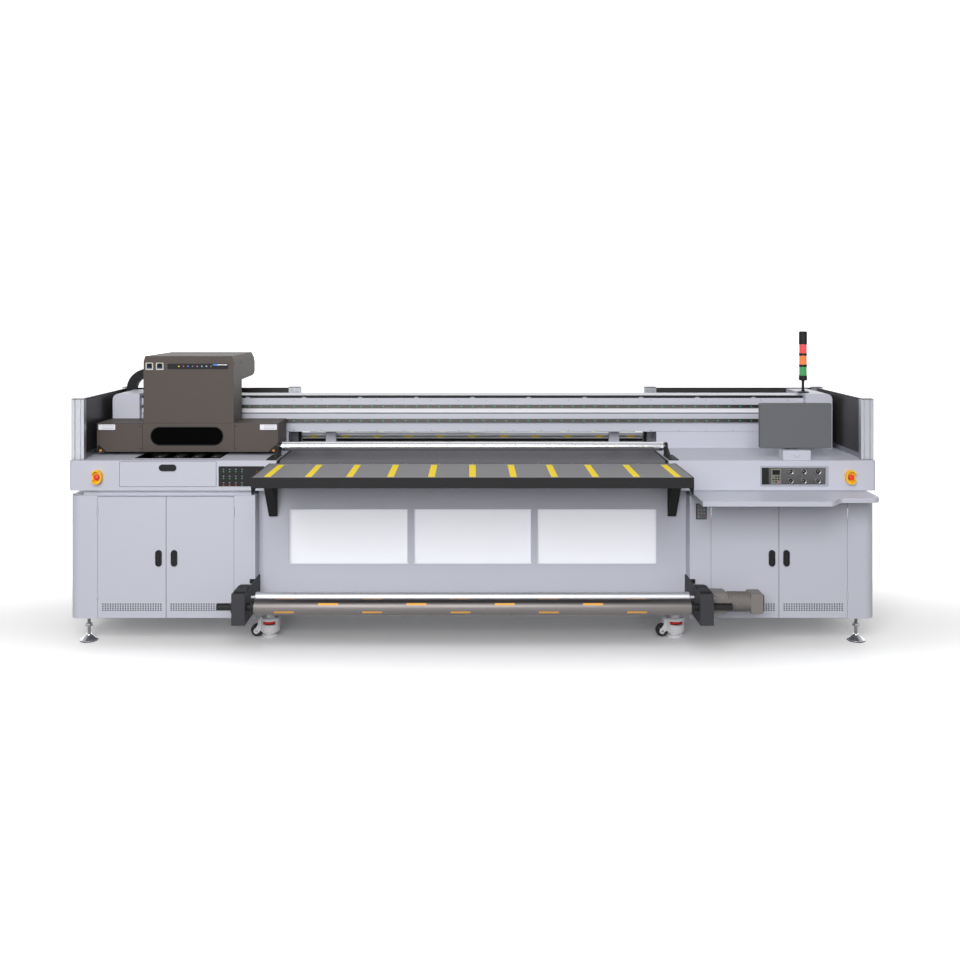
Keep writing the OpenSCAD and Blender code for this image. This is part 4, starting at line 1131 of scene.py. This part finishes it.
def rollers():
    """The chrome tension roller, the rear feed roller with its tape dashes, and their brackets."""
    brackets = dress("roller_brackets", BLACK, 1.0)
    for material in (LIGHT, SHADE):
        brackets.data.materials.append(material)
    for face in brackets.data.polygons:
        away = abs(face.center.x) / MM
        if away < 1100:
            face.material_index = 1
        elif face.center.y > 0 and away > 1222.5:
            face.material_index = 2
    nip = Piece("tension_roller_bar", CHROME, STEEL, body="tension_roller", bevel=0, slot="chrome")
    half = [(0, 1236), (7.5, 1236), (8, 1235.5), (8, 1213), (24, 1213), (28, 1209)]
    nip.lathe("x", NIP, mirrored(half), 0, 56)
    for s in (-1, 1):
        for x in (1190, 1180):
            nip.pipe("x", NIP, 28.25, 27, s * x - 1, s * x + 1, 1, 56)
    nip.done(stands_for="tension_roller")
    feed = Piece("rear_feed_roller_bar", ROLLER, STEEL, body="feed_roller", bevel=0, slot="anodised")
    half = [(0, 1254), (10, 1254), (10, 1198), (17, 1198), (18.5, 1196.5)]
    feed.lathe("x", FEED, mirrored(half)).done(stands_for="rear_feed_roller")
    dashes = Piece("feed_roller_dashes", STRIPE, body="feed_roller", bevel=0)
    for k in range(11):
        x = -1115 + 223 * k
        for a in (3.3, 0.2):
            wrap_patch(dashes, FEED, 18.4, x - 32, x + 32, a, a + 0.6)
    dashes.done()


def wrap_patch(piece, centre, r, x0, x1, a0, a1):
    """A thin strip of tape wrapped on a roller that lies along X."""
    piece.prism("x", sector(centre, r - 0.6, r + 0.25, a0, a1, 8), x0, x1)


def capping():
    """A well with four caps, each with a soft lip and a drain."""
    dress("capping_station", BLACK_PLASTIC, 1.0)
    lips = Piece("capping_lips", RUBBER, STEEL, BLACK_PLASTIC, bevel=1.5)
    for i in range(4):
        x = -1992 + 119 * i
        lips.prism("z", rounded(x, -210, 62, 238, 10, 4), 1142, 1148, 2)
        lips.prism("z", rounded(x, -210, 52, 226, 8, 4), 1147.6, 1148.6, 0)
        for y in (-310, -110):
            lips.rod("z", (x, y), 3.4, 1147.5, 1149.6, 1, 0.6, 16)
    lips.done()
    rim = Piece("capping_rim", LIGHT, bevel=0.4)
    rim.prism("z", rounded(-1855.5, -225, 565, 382, 5, 3), 1151, 1152.2,
              holes=[rounded(-1855.5, -225, 543, 360, 4, 3)])
    rim.done()


def table(side):
    """Sheet metal table: dark rim and corner gussets, grey sheet with yellow tape stripes."""
    s = -1 if side == "front" else 1
    w, y0, y1, t = 1241, 585, 1097, 60
    z1 = BELT_TOP
    body = Piece(f"{side}_table_tray", CHARCOAL, TABLE_TOP, bevel=1.2, slot="charcoal_paint")
    ys = on_side(s, y0, y1)
    outline = [(-w, ys[0]), (w, ys[0]), (w, ys[1]), (-w, ys[1])]
    inner = [(-w + 5, ys[0] + 5), (w - 5, ys[0] + 5), (w - 5, ys[1] - 5), (-w + 5, ys[1] - 5)]
    body.prism("z", outline, z1 - t, z1, 0, holes=[inner])
    body.box((-w + 4.8, ys[0] + 4.8, z1 - 6), (w - 4.8, ys[1] - 4.8, z1 - 1), 1)
    for x in (-800, -400, 0, 400, 800):
        body.box((x - 2, ys[0] + 5, z1 - 45), (x + 2, ys[1] - 5, z1 - 6))
    for sx in (-1, 1):
        a, b = on_side(sx, w - 5, w)
        gusset = ((y1 - 2, 1088.5), (y1 - 202, 1088.5), (y1 - 27, 1046), (y1 - 13, 1048))
        body.prism("x", [(s * y, z) for y, z in gusset], a, b)
    body.done(stands_for="media_tables" if side == "front" else ())
    tape = Piece(f"{side}_table_stripes", STRIPE, bevel=0)
    a, b = on_side(s, 633, 1065)
    for k in range(11):
        x = -1157 + 231.4 * k
        tape.prism("z", rounded(x, (a + b) / 2, 38, b - a, 1.5, 2), z1 - 1.3, z1 - 0.6)
    tape.done()
    marks = Piece(f"{side}_table_screws", STEEL, bevel=0)
    for k in range(13):
        screw_head(marks, "z", (-1210 + 201.6 * k, s * 598), z1 - 1, 1, 3.8)
    marks.done()


def table_braces():
    """Channel struts under the tables, on dark plates against the centre wall."""
    outline = [(381, 786), (381, 1088), (616, 1088), (616, 1072), (397, 786)]
    webbing = [(389, 812), (389, 1080), (604, 1080), (604, 1074), (396, 802)]
    for side, s in (("front", -1), ("rear", 1)):
        braces = Piece(f"{side}_table_braces", CHARCOAL, STEEL, bevel=1.2, slot="charcoal_paint")
        for sx in (-1, 1):
            a, b = on_side(sx, 1228, 1280)
            flat = [(s * y, z) for y, z in outline]
            hole = [(s * y, z) for y, z in webbing]
            web = (a, a + 5) if sx > 0 else (b - 5, b)
            braces.prism("x", flat, a, b, holes=[hole])
            braces.prism("x", hole, *web)
            for y, z in ((420, 900), (440, 1000), (520, 1060)):
                screw_head(braces, "x", (s * y, z), b if sx > 0 else a, sx, 5, 1)
        braces.done(stands_for="table_brackets" if s < 0 else ())


# ------------------------------------------------------------------ winding

WIND_Y = 760
WIND_Z = 325
GUIDE = (-647, 351)


def winding():
    for s, side in ((-1, "front"), (1, "rear")):
        wind_brackets(side, s)
    takeup_tube("takeup_tube", "takeup", -WIND_Y, 1539, "takeup_shaft", True)
    takeup_tube("unwind_tube", "unwind", WIND_Y, 1515, "unwind_shaft", False)
    guide = Piece("guide_roller_bar", ROLLER, STEEL, body="guide_roller", bevel=0, slot="light_paint")
    half = [(0, 1415), (9, 1415), (9, 1310), (26, 1310), (30, 1306)]
    guide.lathe("x", GUIDE, mirrored(half)).done(stands_for="takeup_guide_roller")
    motor()


def wind_brackets(side, s):
    """Box brackets on the cabinet fronts, each with a long inner plate and a bearing ring."""
    piece = Piece(f"{side}_wind_brackets", BRACKET, STEEL, BLACK, bevel=1.4, slot="charcoal_paint")
    bores = [circle(s * WIND_Y, WIND_Z, 21.3, 32)] + ([circle(*GUIDE, 9.3, 20)] if s < 0 else [])

    def plate(x0, x1, far):
        outline = [(s * 824, 232), (s * far, 232), (s * far, 418), (s * 824, 418)]
        piece.prism("x", outline, *sorted((x0, x1)), holes=bores)

    for sx in (-1, 1):
        plate(sx * 1337, sx * 1345.2, 381)
        plate(sx * 1408, sx * 1416, 629)
        a, b = on_side(sx, 1344, 1409)
        for y0, y1, z0, z1 in ((824, 814, 232, 418), (637, 629, 232, 418), (815, 636, 410, 418)):
            ys = on_side(s, y0, y1)
            piece.box((a, ys[0], z0), (b, ys[1], z1))
        tab = on_side(sx, 1345, 1378)
        ys = on_side(s, 500, 490.4)
        piece.box((tab[0], ys[0], 392), (tab[1], ys[1], 418), 2)
        a, b = on_side(sx, 1340, 1404)
        for y0, y1, top in ((806, 722, 431), (690, 641, 426)):
            ys = on_side(s, y0, y1)
            piece.prism("y", rounded((a + b) / 2, (410 + top) / 2, b - a, top - 410, 5, 4), ys[0], ys[1], 2)
        face = sx * 1416
        if not (sx > 0 and s < 0):
            bearing = [(21.6, -1), (40, -1), (40, 9), (37, 12), (21.6, 12)]
            piece.lathe("x", (s * WIND_Y, WIND_Z), bearing, 2, 40, face, sx)
            screw_circle(piece, "x", (s * WIND_Y, WIND_Z), 32, 4, math.pi / 4, face + sx * 11.5, sx, 3.6, 1)
        for y in (650, 800):
            screw_head(piece, "x", (s * y, 252), face, sx, 5, 1)
    piece.done(stands_for="takeup_brackets" if s < 0 else ())


def takeup_tube(name, body, y, x1, stands_for, taped):
    """Winding tube with end flanges on a black shaft; the front one has staggered orange tapes."""
    tube = Piece(name, SLEEVE, BLACK, STEEL, body=body, bevel=0, slot="tube")
    c = (y, WIND_Z)
    tube.lathe("x", c, [(21, -1293), (44, -1293), (47, -1290), (47, 1290), (44, 1293), (21, 1293)], 0, 64)
    for a, b in ((-1515, -1292), (1292, x1)):
        tube.rod("x", c, 21, a, b, 1, 2, 40)
    for s in (-1, 1):
        a, b = on_side(s, 1292.5, 1310)
        tube.rod("x", c, 34, a, b, 1, 2, 40)
        screw_circle(tube, "x", c, 28, 3, 0, s * 1310, s, 3.2, 2)
    tube.done(stands_for=stands_for)
    if not taped:
        return
    tape = Piece(name + "_tapes", ORANGE, body=body, bevel=0)
    for row in range(6):
        for k in range(6):
            x = -1110 + 520 * k + (260 if row % 2 else 0)
            if x > 1220:
                continue
            a = 2 * math.pi * row / 6 + 3.45
            wrap_patch(tape, c, 47.05, x - 58.5, x + 58.5, a, a + 0.26)
    tape.done()


def motor():
    """Gearbox, finned motor and end block on the right front bracket."""
    y, z = -678, 334
    gear = Piece("takeup_gearbox", MOTOR_BROWN, bevel=3, slot="brown_paint")
    gear.prism("x", rounded(y, 336, 116, 122, 5, 4), 1416.2, 1511)
    gear.prism("x", rounded(y, 336, 108, 114, 5, 4), 1510, 1521)
    gear.box((1432, y - 60, 294), (1496, y - 57, 378)).done(stands_for="takeup_motor")
    bolts = Piece("takeup_gearbox_bolts", STEEL, bevel=0)
    screw_grid(bolts, "y", (1440, 1488), (302, 370), y - 60, -1, 4)
    screw_grid(bolts, "z", (1432, 1500), (y - 44, y + 44), 397, 1, 4)
    bolts.done()
    profile = [(0, 1516), (56, 1516), (56, 1526)]
    for k in range(11):
        x = 1527 + 11.4 * k
        profile += [(53.5, x), (53.5, x + 5.2), (59, x + 5.8), (59, x + 10.6), (53.5, x + 11.2)]
    profile += [(57, 1654), (57, 1660), (0, 1660)]
    barrel = Piece("takeup_motor_body", MOTOR_BROWN, bevel=0, slot="brown_paint")
    barrel.lathe("x", (y, z), profile, 0, 56).done()
    end = Piece("takeup_motor_end", MOTOR_BROWN, BLACK_PLASTIC, STEEL, bevel=3)
    end.prism("x", rounded(y, z, 116, 116, 5, 4), 1659, 1732)
    end.prism("x", rounded(y, z, 98, 98, 5, 4), 1731, 1740, 1)
    screw_grid(end, "x", (y - 48, y + 48), (z - 48, z + 48), 1732, 1, 4, 2)
    end.done()


# ------------------------------------------------------------------ feet and castors

def feet():
    """Cone feet, each on a threaded stud with a lock nut."""
    piece = Piece("cone_feet", CHROME, RUBBER, STEEL, bevel=0, slot="chrome")
    for sx in (-1, 1):
        for sy in (-1, 1):
            at = (sx * 2420, sy * 370)
            piece.lathe("z", at, [(0, 0), (54, 0), (55, 1), (55, 4), (53, 6)], 1, 48)
            piece.lathe("z", at, [(53.5, 5.6), (53, 8), (40, 16), (26, 30), (18, 38), (17, 41), (10, 41)])
            thread = []
            for k in range(52):
                z = 41 + 2.5 * k
                thread += [(9.1, z), (10, z + 1.25)]
            piece.lathe("z", at, thread + [(9.1, 171.5)], 2, 24)
            piece.prism("z", circle(*at, 21.5, 6), 96, 108, 2)
            piece.rod("z", at, 24, 93.5, 96.2, 2, 0.5, 32)
    piece.done(stands_for="levelling_feet")


def castor(k):
    """White levelling castor: housing with a slotted red thumb wheel, pad, side arm and wheel."""
    c = middle(f"castor_wheel_{k}")
    x, y = c.x + 82, c.y
    wheel = (x - 82, 43)
    body = f"castor_{k}"
    shell = Piece(f"castor_{k}_housing", WHITE, BLACK, STEEL, body=body, bevel=1.5, slot="castor_white")
    lower = [(36, 30), (50, 30), (50, 36), (62, 42), (62, 88)]
    upper = [(62, 110), (62, 118), (56, 125), (30, 127), (30, 151), (0, 151)]
    arc_lathe(shell, (x, y), lower, upper)
    shell.rod("z", (x, y), 44, 86, 112, 1, 0, 40)
    shell.lathe("z", (x, y), [(0, 0), (46, 0), (48.5, 3), (48.5, 10), (42, 15), (30, 18), (30, 34)], 0, 40)
    shell.rod("z", (x, y), 10, 150, 189, 2, 1, 24)
    arm = [polar(wheel, 19, math.pi * (0.62 + 0.1 * i)) for i in range(10)]
    arm += [(x - 44, 58), (x - 28, 78), (x - 28, 112), (x - 34, 118), (x - 64, 118), (x - 72, 110),
            (x - 74, 84)]
    for a in (y - 30, y + 24):
        shell.prism("y", arm, a, a + 6)
        hub = [(0, -2), (7, -1.4), (9, -0.4), (9, 6.4), (7, 7.4), (0, 8)]
        shell.lathe("y", wheel, hub, 2, 24, a)
    shell.done(stands_for=f"castor_body_{k}")
    thumb = Piece(f"castor_{k}_thumb_wheel", RED, body=body, bevel=0)
    thumb.prism("z", star(x, y, 50.5, 48, 60), 91, 107).done()
    tyre = Piece(f"castor_{k}_tyre", RUBBER, STEEL, body=f"wheel_{k}", bevel=0, slot="tyre")
    half = [(5.2, 12), (20, 12), (26, 14), (34, 16), (38.5, 14), (40, 9)]
    tyre.lathe("y", wheel, mirrored(half) + [(5.2, -12)], at=y)
    tyre.pipe("y", wheel, 18, 5.4, y - 12.8, y + 12.8, 1, 32)
    for i in range(5):
        a = 2 * math.pi * i / 5
        tyre.prism("y", circle(*polar(wheel, 25, a), 2.2, 10), y - 14.5, y + 14.5, 1)
    tyre.done(stands_for=f"castor_wheel_{k}")


def arc_lathe(piece, centre, lower, upper):
    """Turned housing with a slot at the front between its two parts, and a gap for the wheel."""
    steps = 56

    def ring(profile, a0, a1):
        for (r0, z0), (r1, z1) in zip(profile, profile[1:]):
            for i in range(steps):
                t0, t1 = a0 + (a1 - a0) * i / steps, a0 + (a1 - a0) * (i + 1) / steps
                corners = [(r0, t0, z0), (r0, t1, z0), (r1, t1, z1), (r1, t0, z1)]
                verts = [piece.bm.verts.new((*polar(centre, r, t), z))
                         for r, t, z in corners if r > 1e-6 or t == t0]
                if len({tuple(round(c, 4) for c in v.co) for v in verts}) > 2:
                    piece.face(verts, 0)
    gap = math.radians(24)
    wheel_side = math.pi
    ring(lower, wheel_side + gap, wheel_side + 2 * math.pi - gap)
    ring(upper, 0, 2 * math.pi)
    slot_half = math.radians(40)
    front = -math.pi / 2
    band = [(62, 88), (62, 110)]
    ring(band, front + slot_half, front + 2 * math.pi - slot_half)


# ------------------------------------------------------------------ inside the cabinets

def equipment():
    """Ink tanks with caps and hose fittings on a tray, and a louvred electrical enclosure."""
    tray = Piece("tank_tray", SHADE, bevel=1.2)
    for x0, x1, y0, y1, top in ((-2280, -1500, -200, 400, 235), (-2280, -1500, -200, -196, 248),
                                (-2280, -1500, 396, 400, 248), (-2280, -2276, -200, 400, 248),
                                (-1504, -1500, -200, 400, 248)):
        tray.box((x0, y0, 231), (x1, y1, top))
    tray.done()
    inks = {"black_ink": (0.01, 0.01, 0.012), "cyan_ink": (0.02, 0.30, 0.55),
            "magenta_ink": (0.52, 0.03, 0.22), "yellow_ink": (0.80, 0.60, 0.03),
            "white_ink": (0.80, 0.80, 0.80), "clear_ink": (0.55, 0.56, 0.58)}
    for i, (name, colour) in enumerate(inks.items()):
        x = -2212.5 + 125 * i
        label = plastic(name, colour, 0.3)
        tank = Piece(f"tank_{i + 1}", WHITE_PLASTIC, label, BLACK_PLASTIC, bevel=5,
                     slot="white_plastic")
        tank.prism("z", rounded(x, 30, 95, 300, 14, 5), 236, 452)
        tank.prism("z", rounded(x, 30, 80, 270, 14, 5), 451, 458)
        tank.prism("y", rounded(x, 330, 60, 150, 6, 4), -121.5, -119, 1)
        tank.done(stands_for="cabinet_equipment" if i == 0 else ())
        cap = Piece(f"tank_{i + 1}_cap", BLACK_PLASTIC, STEEL, bevel=0)
        cap.prism("z", star(x, -50, 27, 25.6, 48), 457, 482)
        cap.rod("z", (x, -50), 24, 481.5, 486, 0, 1.5, 32)
        cap.rod("z", (x, 60), 6, 457, 484, 1, 1, 20)
        cap.rod("z", (x, 60), 9, 457, 466, 1, 1, 6).done()
    box = Piece("electrical_enclosure", SHADE, BLACK, STEEL, bevel=3)
    box.prism("z", rounded(1900, 212, 680, 416, 8, 4), 232, 840)
    box.prism("y", rounded(1900, 536, 650, 580, 8, 4), 0.2, 4.5, 0)
    # Painted shade: the louvre openings are drawn as black strips.
    for k in range(10):
        box.prism("y", rounded(1900, 300 + 14 * k, 300, 6, 3, 4), -0.6, 0.6, 1)
    for x in (1600, 2200):
        box.rod("z", (x, 3), 4, 300, 340, 2, 1, 20)
        box.rod("z", (x, 3), 4, 730, 770, 2, 1, 20)
    box.rod("y", (2185, 540), 11, -6, 1, 1, 2, 28).done()


# ------------------------------------------------------------------ assembly

cabinets()
centre()
indicator_panel()
jog_keypad()
regulator_window()
stop_buttons()
service_drawer()
dress("operator_shelf", LIGHT, 3)
computer()
stack_light()
guards()
beam()
carriage()
print_heads()
cable_chain()
bed()
table("front")
table("rear")
table_braces()
winding()
feet()
for number in range(1, 5):
    castor(number)
equipment()
